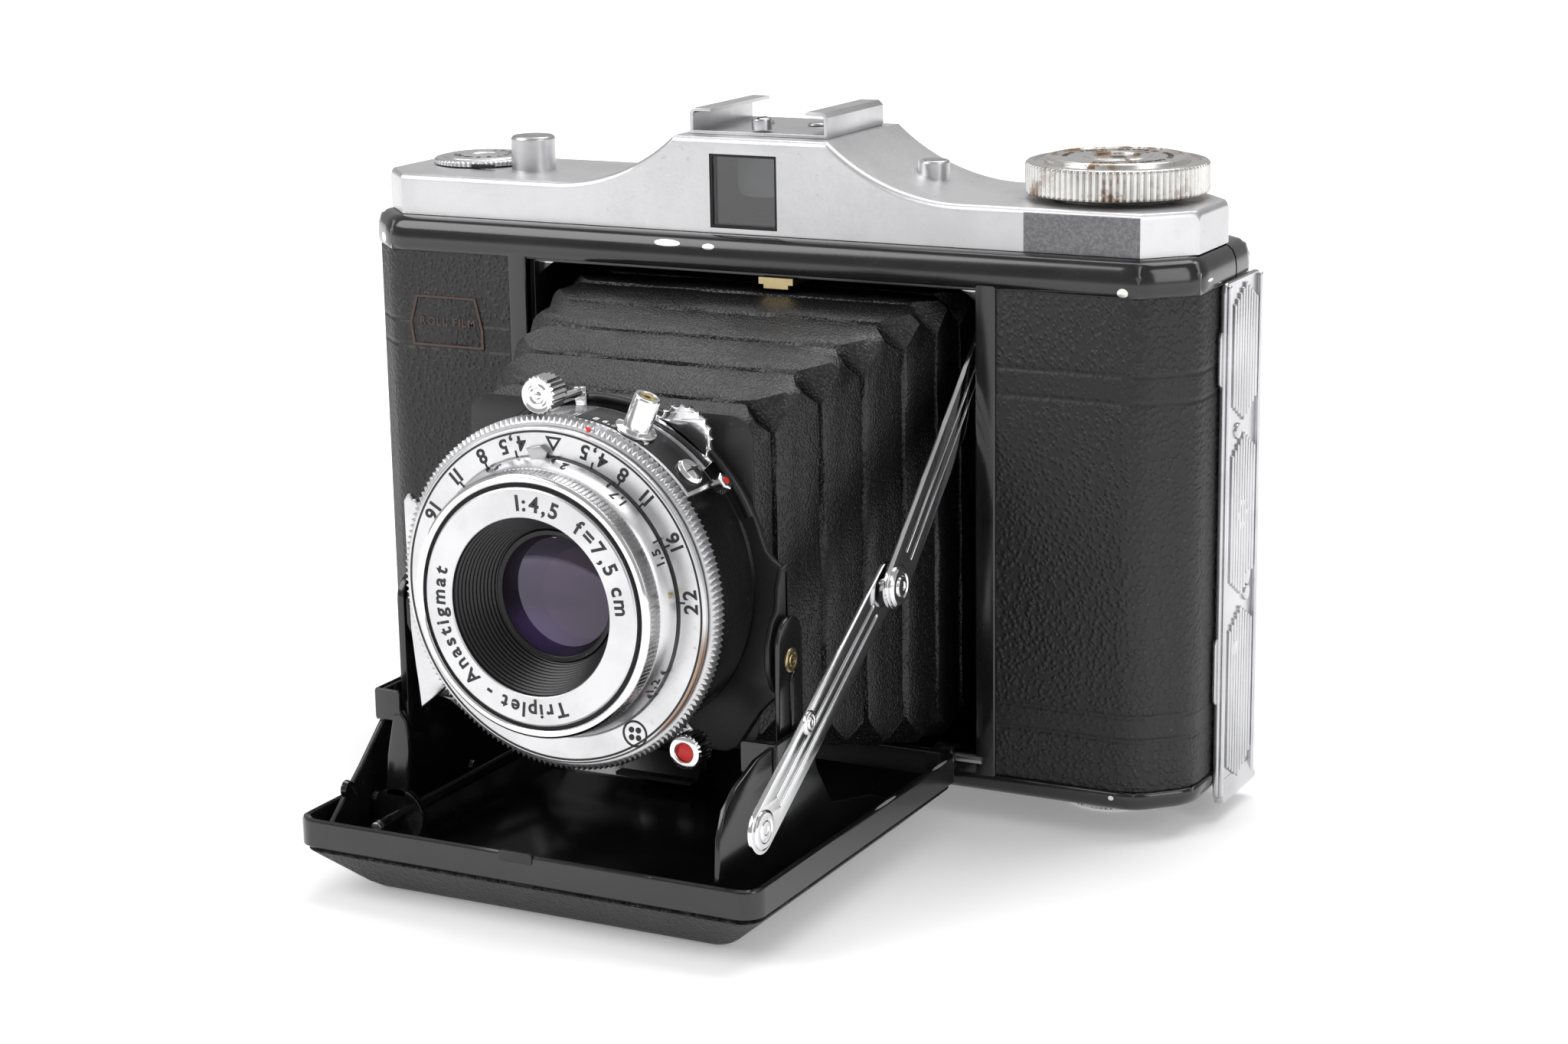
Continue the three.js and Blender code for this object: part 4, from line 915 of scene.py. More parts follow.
def knob_pieces():
    """Winding knob with its film table, and the pegs under both spools."""
    def knurl(a, r, h):
        return toothed(KNOB_TEETH, 0.55, 12.8, 1.6)(a, r, h) if 87.3 < h < 91.4 else r
    profile = [(0, 87.05), (12.5, 87.05), (13.0, 87.2), (13.2, 87.4), (13.2, 91.3),
               (12.9, 91.6), (12.0, 91.75), (11.8, 91.35), (10.5, 91.35), (10.4, 92.1), (9.9, 92.3),
               (9.5, 92.3), (9.4, 92.1), (4.9, 92.1), (4.8, 92.25), (4.4, 92.3), (3.4, 92.3),
               (3.3, 91.9), (0, 91.9)]
    rows = softened(profile, 0.12, 2)
    extra = []
    for i, point in enumerate(rows):
        extra.append(point)
        following = rows[(i + 1) % len(rows)]
        if point[0] > 13.1 and following[0] > 13.1 and following[1] - point[1] > 1.5:
            extra.extend((13.2, h) for h in (point[1] + 0.12, following[1] - 0.12))
    add("knob", lathe("knob", extra, "Z", SPOOL, KNOB_TEETH * 6, 0, knurl), "winding_knob", "knob",
        ("winding_knob",), angle=50)
    add("knob_shaft", lathe("shaft", [(0, 70), (2.4, 70), (2.4, 87.6), (0, 87.6)], "Z", SPOOL, 32),
        "winding_knob", "steel")
    add("knob_collar", lathe("collar", [(3.4, 86.32), (9.6, 86.32), (9.2, 86.8), (3.4, 86.9)], "Z", SPOOL, 64),
        "body", "steel")
    flat_ring_text("PAN 17   PAN 21   ORTHO 15   COLOR 12   COLOR 16   INFRA", 1.15, 7.6, SPOOL, 92.12,
                   200, "winding_knob", "knob_text")
    flat_ring_text("TURN  TO  WIND", 0.9, 5.7, SPOOL, 92.12, 150, "winding_knob", "knob_text_small")
    arrow = [(-0.6, -1.6), (0.6, -1.6), (0.6, 0.4), (1.3, 0.4), (0.0, 2.0), (-1.3, 0.4), (-0.6, 0.4)]
    add("knob_arrow", plate("arrow", [[(SPOOL[0] + u, SPOOL[1] + v) for u, v in arrow]], "Z", 91.88, 91.95,
                            0.01, 1), "winding_knob", "ink")
    for side, sign in (("right", 1), ("left", -1)):
        peg = [(0, -4.5), (5.9, -4.5), (6.6, -4.2), (6.8, -3.8), (6.8, -1.2), (6.5, -0.6), (0, -0.6)]
        mesh = lathe("peg", peg, "Z", (SPOOL[0] * sign, SPOOL[1]), 168, 0.1,
                     toothed(PEG_TEETH, 0.25, 6.7))
        stem = lathe("stem", [(0, -0.8), (2.1, -0.8), (2.1, 9.6), (0, 9.6)], "Z", (SPOOL[0] * sign, SPOOL[1]), 28)
        add(f"peg_{side}", merged("peg", [mesh, stem]), f"spool_peg_{side}", "chrome", (f"spool_peg_{side}",))


def button_pieces():
    """Film reminder disc, release button and door button."""
    disc = [(0, 86.42), (7.6, 86.42), (8.0, 86.55), (8.0, 87.1), (7.7, 87.35), (6.6, 87.42),
            (6.5, 87.6), (6.2, 87.66), (2.4, 87.66), (2.3, 87.5), (0, 87.5)]
    add("disc", lathe("disc", disc, "Z", REMINDER, DISC_TEETH * 5, 0.08, toothed(DISC_TEETH, 0.16, 7.85)),
        "reminder_disc", "dial", ("reminder_disc",))
    flat_ring_text("1 2 3 4 5 6 7 8 9 10 11 12", 1.5, 4.3, REMINDER, 87.67, 100, "reminder_disc", "disc_text")
    add("disc_pointer", box_mesh("pointer", -53.6, -49.6, 8.6, 9.2, 86.5, 87.05, 0.05), "body", "inner")
    release = [(0, 82.8), (4.2, 82.8), (4.2, 83.6), (3.45, 83.6), (3.45, 91.1), (3.2, 91.5),
               (2.0, 91.5), (1.7, 91.25), (0, 91.15)]
    add("release", lathe("release", release, "Z", RELEASE, 64, 0.12), "release_button", "turned",
        ("release_button",))
    # Darker steel discs on the tops of both buttons: painted shade, keeping the tops grey where the top light
    # would show them white.
    add("release_top_shade", lathe("cap", [(0, 91.3), (3.0, 91.42), (3.1, 91.53), (0, 91.53)], "Z", RELEASE, 64,
                             0.03), "release_button", "steel")
    add("door_top_shade", lathe("cap", [(0, 90.38), (1.6, 90.4), (1.7, 90.48), (0, 90.48)], "Z", DOOR_BUTTON, 56, 0.03),
        "door_button", "steel")
    door = [(0, 82.8), (3.0, 82.8), (3.0, 83.6), (2.35, 83.6), (2.35, 90.1), (2.1, 90.4), (0, 90.45)]
    add("door_opener", lathe("door_opener", door, "Z", DOOR_BUTTON, 56, 0.12), "door_button", "turned",
        ("door_button",))


# ------------------------------------------------------------------ bellows
def bellows_piece():
    """Flat leather bands with a narrow groove between them, pinched in at the corners."""
    rear, front = BELLOWS_REAR, BELLOWS_FRONT
    grooves = [-36.1, -27.2, -18.7, -10.1, -2.2, 5.8, 13.8]
    taper = [(-41.9, 20.8), (-36.1, 22.4), (-27.2, 25.1), (-18.7, 27.4), (-10.1, 29.5), (-2.2, 31.0),
             (5.8, 31.2), (22.0, 30.3)]

    def half_width(y):
        for (y0, h0), (y1, h1) in zip(taper, taper[1:]):
            if y <= y1:
                return h0 + (h1 - h0) * (y - y0) / (y1 - y0)
        return taper[-1][1]

    stations = [(front, 0.0, 0.0), (front + 0.8, 0.0, 0.0)]
    for g in grooves:
        stations += [(g - 3.2, 0.1, 0.0), (g - 0.9, -0.1, 0.65), (g - 0.35, 0.1, 0.85), (g - 0.1, 0.9, 1.0),
                     (g + 0.15, 0.9, 1.0), (g + 0.4, 0.0, 0.85), (g + 0.9, -0.15, 0.6),
                     (g + 3.6, -0.1, 0.0)]
    stations = sorted(s for s in stations if s[0] < rear - 0.6) + [(rear, 0.0, 0.0)]
    per_side = 14

    def ring(y, inset, pinch, thick, shake):
        t = (rear - y) / (rear - front)
        half = half_width(y) - inset - thick
        tall = half_width(y) + 1.5 - inset - thick
        cut = 1.4 + 3.7 * pinch - 0.3 * t
        corners = [(half, -tall), (half, tall), (-half, tall), (-half, -tall)]
        points = []
        for k in range(4):
            a, b = Vector(corners[k]), Vector(corners[(k + 1) % 4])
            along = (b - a).normalized()
            out = Vector((along.y, -along.x))
            length = (b - a).length
            for i in range(per_side + 1):
                p = a + along * (cut + (length - 2 * cut) * i / per_side)
                p = p + out * shake.uniform(-0.11, 0.11)
                points.append((p.x, y + shake.uniform(-0.16, 0.16), LENS_Z + p.y))
            c = Vector(corners[(k + 1) % 4])
            tuck = c - c.normalized() * (cut * (0.60 + 0.42 * pinch))
            points.append((tuck.x, y + shake.uniform(-0.2, 0.2), LENS_Z + tuck.y))
        return points

    rings = []
    for thick in (0.0, 0.5):
        shake = random.Random(5)
        made = [ring(y, inset, pinch, thick, shake) for y, inset, pinch in stations]
        rings += made if thick == 0.0 else made[::-1]
    mesh = loops("bellows", rings, (False, False))
    obj = add("bellows_folds", mesh, "body", "bellows", ("bellows",), angle=38)
    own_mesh(obj)


# ------------------------------------------------------------------ drop bed
def bed_ring(half, front, rear, z, r):
    """A level ring of the bed: a rectangle with round corners."""
    return [(x, y, z) for x, y in rectangle(-half, half, front, rear, r, 8)]


def bed_pieces():
    """Tray, leather, lined inside with its cheeks, spring, notch and release linkage."""
    b, f, r = BED_HALF, BED_FRONT, BED_REAR
    outer = [
        (26.9, -61.9, -12.1, -3.9, 1.6), (29.0, -64.0, -10.2, -2.9, 2.2), (34.6, -68.4, -6.5, 1.9, 2.8),
        (35.6, -69.3, -5.7, 2.5, 2.9), (b, f, r, 2.9, 3.0), (b, f, r, 6.3, 3.0),
        (b - 0.15, f + 0.15, r - 0.15, 6.65, 2.9), (b - 0.55, f + 0.55, r - 0.55, 6.8, 2.6),
        (b - 1.0, f + 1.0, r - 1.0, 6.65, 2.3), (b - 1.15, f + 1.15, r - 1.15, 6.3, 2.2),
        (b - 1.2, f + 1.2, r - 1.2, 3.0, 2.1), (33.6, -67.4, -7.5, 2.2, 2.0),
        (28.0, -63.0, -11.2, -2.5, 1.8), (26.5, -61.6, -12.4, -3.1, 1.6),
    ]
    rings = [bed_ring(*ring) for ring in outer]
    tray = [loops("tray", rings)]
    for x in (-34, -8, 5, 31):
        tray.append(lathe("lug", [(1.1, x), (1.9, x), (1.9, x + 3), (1.1, x + 3)], "X", (-2.35, 5.0), 32, 0.1))
        tray.append(plate("web", [[(x, 3.4), (x + 3, 3.4), (x + 3, 6.4), (x, 6.4)]], "Y", -6.4, -4.0, 0.1))
    add("tray", merged("tray", tray), "bed", "enamel", ("bed_tray",), angle=35, weighted=True)
    skin = [(26.6, -61.6, -12.4, -3.95, 1.6), (35.2, -69.0, -6.1, 2.25, 2.8), (35.45, -69.25, -5.95, 2.0, 2.8),
            (34.9, -68.8, -6.4, 1.5, 2.8), (29.4, -64.2, -10.0, -3.2, 2.4), (28.2, -63.0, -11.0, -4.05, 2.2),
            (26.6, -61.6, -12.4, -4.5, 1.8)]
    add("bed_underside", loops("underside", [bed_ring(*ring) for ring in skin]), "bed", "leather_plain",
        ("bed_leather",), angle=50)
    liner = [plate("cheek", [outline, circle(*ARM_LOW, 1.5, 24)], "X", *span, 0.2, 3)
             for outline, span in ((CHEEK_RIGHT, (29.2, 30.0)), (CHEEK_LEFT, (-33.4, -32.6)))]
    floor = [(-33.4, 1.7), (-28.2, -2.45), (28.2, -2.45), (33.4, 1.7), (33.4, 2.5), (28.0, -1.8),
             (-28.0, -1.8), (-33.4, 2.5)]
    liner.append(plate("floor", [floor], "Y", -62.0, -14.5, 0.15, 2))
    for cheek in (29.3, -32.7):
        head = cheek - 0.8 if cheek > 0 else cheek + 0.8
        for y, z in ((-54.8, 5.4), (-30.0, 2.6), (-62.0, 9.0)):
            liner.append(lathe("rivet", [(0, head), (1.1, head), (1.3, cheek), (0, cheek)], "X", (y, z), 24, 0.1))
        clip = [(-52.2, 16.3), (-44.6, 16.3), (-41.4, 16.0), (-41.4, 20.9), (-52.2, 20.9)]
        liner.append(plate("clip", [clip], "X", *((29.95, 30.4) if cheek > 0 else (-33.8, -33.35)), 0.15, 2))
        liner.append(plate("clip_front", [rectangle(*((25.0, 30.4) if cheek > 0 else (-33.8, -29.6)),
                                                    16.4, 20.9, 0.4)], "Y", -52.4, -51.8, 0.15, 2))
    add("liner", merged("liner", liner), "bed", "enamel", ("bed_liner",), angle=35)
    tongue = [(-15.4, -0.9), (-13.2, -0.9), (-11.2, 1.2), (-10.6, 2.1), (-11.0, 2.5), (-13.4, -0.4), (-15.4, -0.3)]
    parts = [plate("tongue", [tongue], "X", -16.5, -3.5, 0.12, 2)]
    parts.append(plate("wall", [rectangle(-16.4, -3.6, -0.8, 6.0, 1.2)], "Y", -10.6, -10.05, 0.15, 2))
    add("plate_spring", merged("plate_spring", parts), "bed", "black", ("bed_plate_spring",))
    for i, x in enumerate((-13.4, -6.8)):
        add(f"spring_rivet_{i}", lathe("rivet", [(0, -11.4), (0.9, -11.3), (1.4, -11.0), (1.5, -10.5),
                                                (0, -10.5)], "Y", (x, 3.2), 28, 0.1), "bed", "steel")
    add("bed_notch", box_mesh("notch", -2.6, 2.6, -70.0, -69.2, 5.6, 7.1, 0.1), "bed", "black")
    add("bed_hook", box_mesh("hook", -1.8, 2.2, -69.0, -67.8, 2.0, 5.6, 0.2), "bed", "black")
    shaft = [lathe("shaft", [(0, -62.2), (0.9, -62.2), (0.9, -16), (0, -16)], "Y", (-27.2, 4.3), 24, 0.2),
             lathe("disc", [(0, -57.5), (4.2, -57.5), (4.2, -56.4), (0, -56.4)], "Y", (-27.2, 4.3), 48, 0.25)]
    blade = [(-29.2, 7.0), (-25.6, 7.0), (-24.9, 14.0), (-25.2, 18.6), (-26.1, 19.8), (-27.3, 19.2),
             (-28.6, 13.0)]
    shaft.append(plate("blade", [blade], "Y", -57.5, -56.3, 0.35, 3))
    add("release_linkage", merged("shaft", shaft), "release_shaft", "enamel", ("release_shaft",))
    pin = [(0, -63.2), (0.8, -63.0), (0.8, -57.4), (0, -57.4)]
    add("release_pin", lathe("pin", pin, "Y", (-27.2, 4.3), 20, 0.1), "release_shaft", "steel")


# ------------------------------------------------------------------ struts and arms
def rivet(centre, x0, x1, radius, sign):
    """A turned rivet head with rings, standing from x0 out to x1."""
    d = x1 - x0
    profile = [(0, 0), (radius, 0), (radius, 0.45 * d), (0.86 * radius, 0.8 * d), (0.66 * radius, 0.86 * d),
               (0.6 * radius, 0.66 * d), (0.5 * radius, 0.66 * d), (0.44 * radius, 0.95 * d),
               (0.26 * radius, d), (0.2 * radius, 0.82 * d), (0, 0.82 * d)]
    return lathe("rivet", [(r, sign * (x0 + h)) for r, h in profile], "X", centre, 48, 0.05)


def strut(name, a, b, low, high, body):
    """A chromed bar from pivot a to pivot b, with two long grooves filled darker."""
    va, vb = Vector(a), Vector(b)
    along = (vb - va).normalized()
    across = Vector((-along.y, along.x))
    length = (vb - va).length
    slots = []
    for offset in (-0.95, 0.95):
        p = va + along * 5.2 + across * offset
        q = va + along * (length - 5.2) + across * offset
        slots.append(link_outline(tuple(p), tuple(q), 0.24, 5))
    bar = plate("bar", [link_outline(a, b, 3.3, 18), *slots], "X", low, high, 0.16, 3)
    add(name, bar, body, "chrome", (body,), angle=35)
    add(f"{name}_grooves", plate("grooves", [link_outline(a, b, 2.0, 12)], "X", low + 0.15, low + 0.4, 0.02),
        body, "steel")


def strut_pieces():
    """The two-bar strut on the right, and the arms that carry the lens standard."""
    strut("lower_bar", FOOT, KNEE, 34.0, 34.7, "strut_lower")
    strut("upper_bar", KNEE, HEAD, 35.3, 36.1, "strut_upper")
    add("foot_rivet", rivet(FOOT, 34.6, 35.2, 2.7, 1), "strut_lower", "chrome")
    add("mid_rivet", rivet((-51.0, 24.3), 34.6, 35.1, 1.7, 1), "strut_lower", "chrome")
    knee = merged("knee", [rivet(KNEE, 35.95, 36.95, 3.0, 1),
                           lathe("shank", [(0, 33.9), (1.1, 33.9), (1.1, 36.0), (0, 36.0)], "X", KNEE, 24, 0.05)])
    add("knee_rivet", knee, "strut_upper", "chrome")
    for side, sign in (("right", 1), ("left", -1)):
        span = (27.9, 28.7) if sign > 0 else (-32.4, -31.2)
        outer = 28.6 if sign > 0 else 32.3
        arm = [plate("arm", [link_outline(ARM_LOW, ARM_TOP, 3.5, 16)], "X", *span, 0.25, 3)]
        arm.append(plate("rib", [link_outline((-43.6, 20.5), (-43.6, 27.5), 1.3, 10)], "X",
                         *sorted((sign * outer, sign * (outer + 0.45))), 0.2, 3))
        add(f"arm_{side}", merged("arm", arm), f"standard_arm_{side}", "enamel",
            (f"standard_arm_{side}",), angle=35)
        ends = [rivet((-44.35, z), outer, outer + 0.45, 1.7, sign) for z in (30.4, 16)]
        ends.append(lathe("pin", [(0, sign * (outer - 3.2)), (1.1, sign * (outer - 3.2)), (1.1, sign * outer),
                                  (0, sign * outer)], "X", ARM_TOP, 20, 0.05))
        add(f"arm_rivets_{side}", merged("ends", ends), f"standard_arm_{side}", "brass")


# ------------------------------------------------------------------ lens standard
def standard_pieces():
    """The plate behind the shutter, with its rolled edge, ears and bellows frame."""
    top = arc(0, LENS_Z, 25.0, 20, 160, 60)
    left = [(-24.4, 46.4), (-25.4, 44.8), (-27.6, 43.8), (-29.6, 43.2), (-30.7, 42.2), (-30.7, 26.4),
            (-29.6, 25.2), (-25.0, 22.6), (-19.6, 16.4), (-17.8, 15.6)]
    right = [(17.8, 15.6), (19.6, 16.4), (23.5, 22.2), (26.4, 25.0), (27.3, 26.4), (27.3, 42.2), (26.6, 43.0),
             (25.6, 43.6), (24.6, 44.8), (24.0, 46.4)]
    outline = top + left + right
    parts = [plate("plate", [outline, circle(0, LENS_Z, 14.6, 64)], "Y", -43.2, -42.0, 0.3, 3)]
    path = arc(0, LENS_Z, 24.5, 24, 156, 60)
    rings = []
    for u, v in path:
        a = math.atan2(v - LENS_Z, u)
        rings.append([((24.5 + 0.75 * math.cos(t)) * math.cos(a), -43.25 + 0.7 * math.sin(t),
                       LENS_Z + (24.5 + 0.75 * math.cos(t)) * math.sin(a))
                      for t in (k * math.pi / 6 for k in range(12))])
    parts.append(loops("rolled_edge", rings))
    ear = [(-42.2, 25.6), (-42.2, 43.0), (-43.6, 42.8), (-44.8, 40.4), (-45.2, 37.2), (-46.8, 35.8), (-48.1, 33.0),
           (-48.1, 29.6), (-46.6, 26.6), (-44.6, 25.2)]
    for span in ((26.5, 27.3), (-30.7, -29.9)):
        parts.append(plate("ear", [ear], "X", *span, 0.25, 3))
    parts.append(plate("bellows_frame", [rectangle(-22.3, 22.3, LENS_Z - 23.4, LENS_Z + 23.4, 3.0),
                                         circle(0, LENS_Z, 15.0, 48)], "Y", -42.15, -41.75, 0.05, 1))
    parts.append(lathe("seat", [(14.6, -43.9), (22.6, -43.9), (23.0, -43.1), (14.6, -43.1)], "Y", (0, LENS_Z), 96))
    add("standard", merged("standard", parts), "standard", "black", ("standard_plate",), angle=35)


def lens_pieces():
    """Shutter housing, dials and the turning front cell with its lettering and glass."""
    centre = LENS_CENTRE
    barrel = [(14.4, -43.6), (22.6, -43.6)]
    h = -44.2
    while h > -54.0:
        barrel += [(23.05, h), (23.05, h - 0.16), (22.8, h - 0.22), (22.8, h - 0.34)]
        h -= 0.42
    barrel += [(22.4, -54.3), (21.5, -54.3), (21.5, -56.6), (11.0, -56.6), (11.0, -48.2), (10.2, -48.2),
               (10.2, -38.4), (14.2, -38.4)]
    add("shutter", lathe("shutter", barrel, "Y", centre, 128, 0), "standard", "anodised",
        ("shutter_housing",), angle=20)
    outer = [(21.9, -57.0), (23.6, -57.05), (23.9, -56.95), (24.6, -56.7), (24.6, -55.0), (23.9, -54.6),
             (21.9, -54.5)]
    add("speed", lathe("speed", outer, "Y", centre, SPEED_TEETH * 4, 0.1, toothed(SPEED_TEETH, 0.62, 24.2)),
        "speed_ring", "turned", ("speed_ring",), angle=60)
    face = [(10.9, -57.9), (19.3, -57.9), (19.6, -58.02), (23.0, -58.02), (23.25, -57.9), (23.3, -57.5),
            (23.3, -57.2), (21.7, -57.2), (21.7, -56.8), (10.9, -56.8)]
    add("dial", lathe("dial", face, "Y", centre, 160, 0.08), "standard", "dial", ("scale_plate",), angle=30)
    add("dial_line", lathe("line", [(22.55, -58.05), (22.85, -58.05), (22.85, -57.9), (22.55, -57.9)], "Y",
                           centre, 160, 0), "standard", "ink")
    marks = []
    for label, angle in (("16", 152), ("11", 134), ("8", 119.5), ("4,5", 105), ("4,5", 70.5), ("8", 57.5),
                         ("11", 45.5), ("16", 27.0), ("22", 4.5)):
        marks += centred_text(label, 2.85, angle, 21.15, -58.05, True)
    for angle in (152, 134, 119.5, 104.4, 70.2, 57.0, 45.0, 26.5, 4.0):
        marks.append(tick(angle, 19.35, 20.35, -58.04))
    add("dial_numbers", merged("numbers", marks), "standard", "ink")
    apex = [(20.1, 0.0), (22.1, -1.25), (22.1, 1.25)]
    inner = [(20.7, 0.0), (21.8, -0.72), (21.8, 0.72)]
    a = math.radians(87.6)

    def turned(points):
        return [(r * math.cos(a) - w * math.sin(a), LENS_Z + r * math.sin(a) + w * math.cos(a)) for r, w in points]
    add("dial_triangle", plate("triangle", [turned(apex), turned(inner)], "Y", -58.09, -58.0, 0.01, 1),
        "standard", "ink")
    lug = [(r * math.cos(math.radians(t)), LENS_Z + r * math.sin(math.radians(t)))
           for r, t in ((19.0, 96.5), (20.6, 98.0), (20.9, 92.0), (20.1, 88.8), (19.0, 90.0))]
    add("dial_stop", plate("stop", [lug], "Y", -58.9, -57.9, 0.12, 2), "standard", "steel")
    bx, bz = spot(-56, 19.9)
    bx, bz = bx + 1.0, bz - 1.1
    flower = [plate("badge_rim", [circle(bx, bz, r, 40) for r in (1.9, 1.6)], "Y", -58.08, -58.0, 0.01, 1)]
    for k in range(4):
        t = math.radians(45 + 90 * k)
        flower.append(plate("petal", [circle(bx + 0.75 * math.cos(t), bz + 0.75 * math.sin(t), 0.42, 20)],
                            "Y", -58.08, -58.0, 0.01, 1))
    add("dial_badge", merged("badge", flower), "standard", "ink")

    # Focusing ring, with a diamond knurl and a sloping distance skirt.
    add("focus_skirt", lathe("skirt", [(16.9, -61.0), (18.25, -61.0), (18.6, -60.4), (19.25, -58.5),
                                       (19.1, -58.25), (16.9, -58.25)], "Y", centre, 160, 0.06),
        "front_cell", "dial", ("focus_ring",))
    rows, count = 16, 170
    points, faces = [], []
    for i in range(rows + 1):
        h = -63.55 + 2.6 * i / rows
        for s in range(count * 2):
            a = math.pi * s / count
            fade = min(1.0, i / 2, (rows - i) / 2)
            diamond = math.cos(a * count * 0.5 + i * math.pi / 2) * math.cos(a * count * 0.5 - i * math.pi / 2)
            r = 18.05 + 0.012 * i + 0.13 * diamond * fade
            points.append((r * math.cos(a), h, LENS_Z + r * math.sin(a)))
    n = count * 2
    for i in range(rows):
        for s in range(n):
            t = (s + 1) % n
            faces.append((i * n + s, i * n + t, (i + 1) * n + t, (i + 1) * n + s))
    add("focus_knurl", mesh_of("knurl", points, faces), "front_cell", "satin", angle=80)
    collar = [(16.95, -61.0), (16.95, -63.75), (17.15, -63.95), (17.75, -63.9), (18.1, -63.6), (18.1, -63.4),
              (17.6, -63.4), (17.6, -61.0)]
    add("focus_collar", lathe("collar", collar, "Y", centre, 128, 0.05), "front_cell", "chrome")
    add("focus_groove", lathe("groove", [(16.3, -63.3), (17.05, -63.3), (17.05, -58.6), (16.3, -58.6)], "Y",
                              centre, 96, 0), "front_cell", "inner")
    distances = []
    for label, angle in (("2", 80), ("1,7", 53), ("1,5", 24), ("1,2", -32), ("3", 112), ("5", 140), ("10", 168)):
        distances += centred_text(label, 1.9, angle, 18.92, -59.55, True, slope=-70)
    add("focus_numbers", merged("distances", distances), "front_cell", "ink")
    skirt_marks = []
    for angle in (86, 59.5, 30, -25.5, 118, 146, 175, -38):
        skirt_marks.append(tick(angle, 18.5, 19.35, -58.75, 0.24, 0.5))
    add("focus_ticks", merged("ticks", skirt_marks), "front_cell", "ink")
    add("focus_screw", lathe("screw", [(0, -59.6), (0.45, -59.6), (0.45, -58.4), (0, -58.4)], "Y",
                             spot(8, 18.75), 20, 0.05), "front_cell", "brass")

    # Name ring and the ribbed black cone down to the front lens.
    ring = [(12.2, -63.9), (12.35, -64.05), (16.1, -64.05), (16.35, -63.85), (16.4, -63.0), (16.4, -58.5),
            (12.2, -58.5)]
    add("name_face", lathe("name", ring, "Y", centre, 128, 0.05), "front_cell", "dial", ("name_ring",))
    cone = [(12.2, -63.85)]
    steps, wide, narrow, deep = 12, 12.15, 9.2, 6.4
    for k in range(steps):
        r0, r1 = (wide - (wide - narrow) * j / steps for j in (k, k + 1))
        d0, d1 = (-63.75 + deep * j / steps for j in (k, k + 1))
        cone += [(r0, d0 + 0.09), (r0, d1 - 0.09), (r1 + 0.09, d1)]
    cone += [(9.15, -57.2), (9.15, -56.0), (9.9, -56.0), (12.2, -58.6)]
    add("cone", lathe("cone", cone, "Y", centre, 128, 0), "front_cell", "black", angle=25)
    words = centred_text("1:4,5  f=7,5 cm", 3.0, 49, 14.3, -64.08, False)
    words += centred_text("Triplet - Anastigmat", 2.85, -133, 14.3, -64.08, False)
    add("name_text", merged("words", words), "front_cell", "ink")
    dome = [(0, -58.3)] + [(9.1 * math.sin(math.radians(a)), -58.3 + 1.7 * (1 - math.cos(math.radians(a))))
                           for a in range(6, 91, 6)] + [(9.1, -55.6), (0, -55.6)]
    add("lens_front", lathe("lens", dome, "Y", centre, 128, 0), "front_cell", "lens_glass", ("front_lens",),
        angle=50)
    add("lens_retainer", lathe("retainer", [(8.4, -57.4), (9.1, -57.6), (9.2, -56.2), (8.4, -56.2)], "Y", centre,
                               96, 0.08), "front_cell", "anodised")
    add("rear_retainer", lathe("rear", [(9.2, -39.4), (10.0, -39.8), (10.1, -40.6), (9.2, -40.6)], "Y", centre,
                               72, 0.05), "standard", "anodised")


def standing(name, profile, angle, y, segments=40, soft=0.08, wave=None):
    """A turned part standing on the barrel at an angle from +X toward +Z."""
    mesh = lathe(name, [(r, h) for r, h in profile], "Z", (0, 0), segments, soft, wave)
    turn = Matrix.Rotation(math.radians(90 - angle), 4, "Y")
    for vert in mesh.vertices:
        p = turn @ (vert.co / MM - SHIFT)
        vert.co = at(p.x, p.y + y, p.z + LENS_Z)
    return mesh


def sector(name, r0, r1, a0, a1, y0, y1, bevel=0.1):
    """A flat part of a ring round the lens."""
    steps = max(4, int(abs(a1 - a0) / 2))
    outline = arc(0, LENS_Z, r1, a0, a1, steps) + arc(0, LENS_Z, r0, a1, a0, steps)
    return plate(name, [outline], "Y", y0, y1, bevel, 2)


def spot(angle, radius):
    """(x, z) of a point round the lens."""
    a = math.radians(angle)
    return radius * math.cos(a), LENS_Z + radius * math.sin(a)


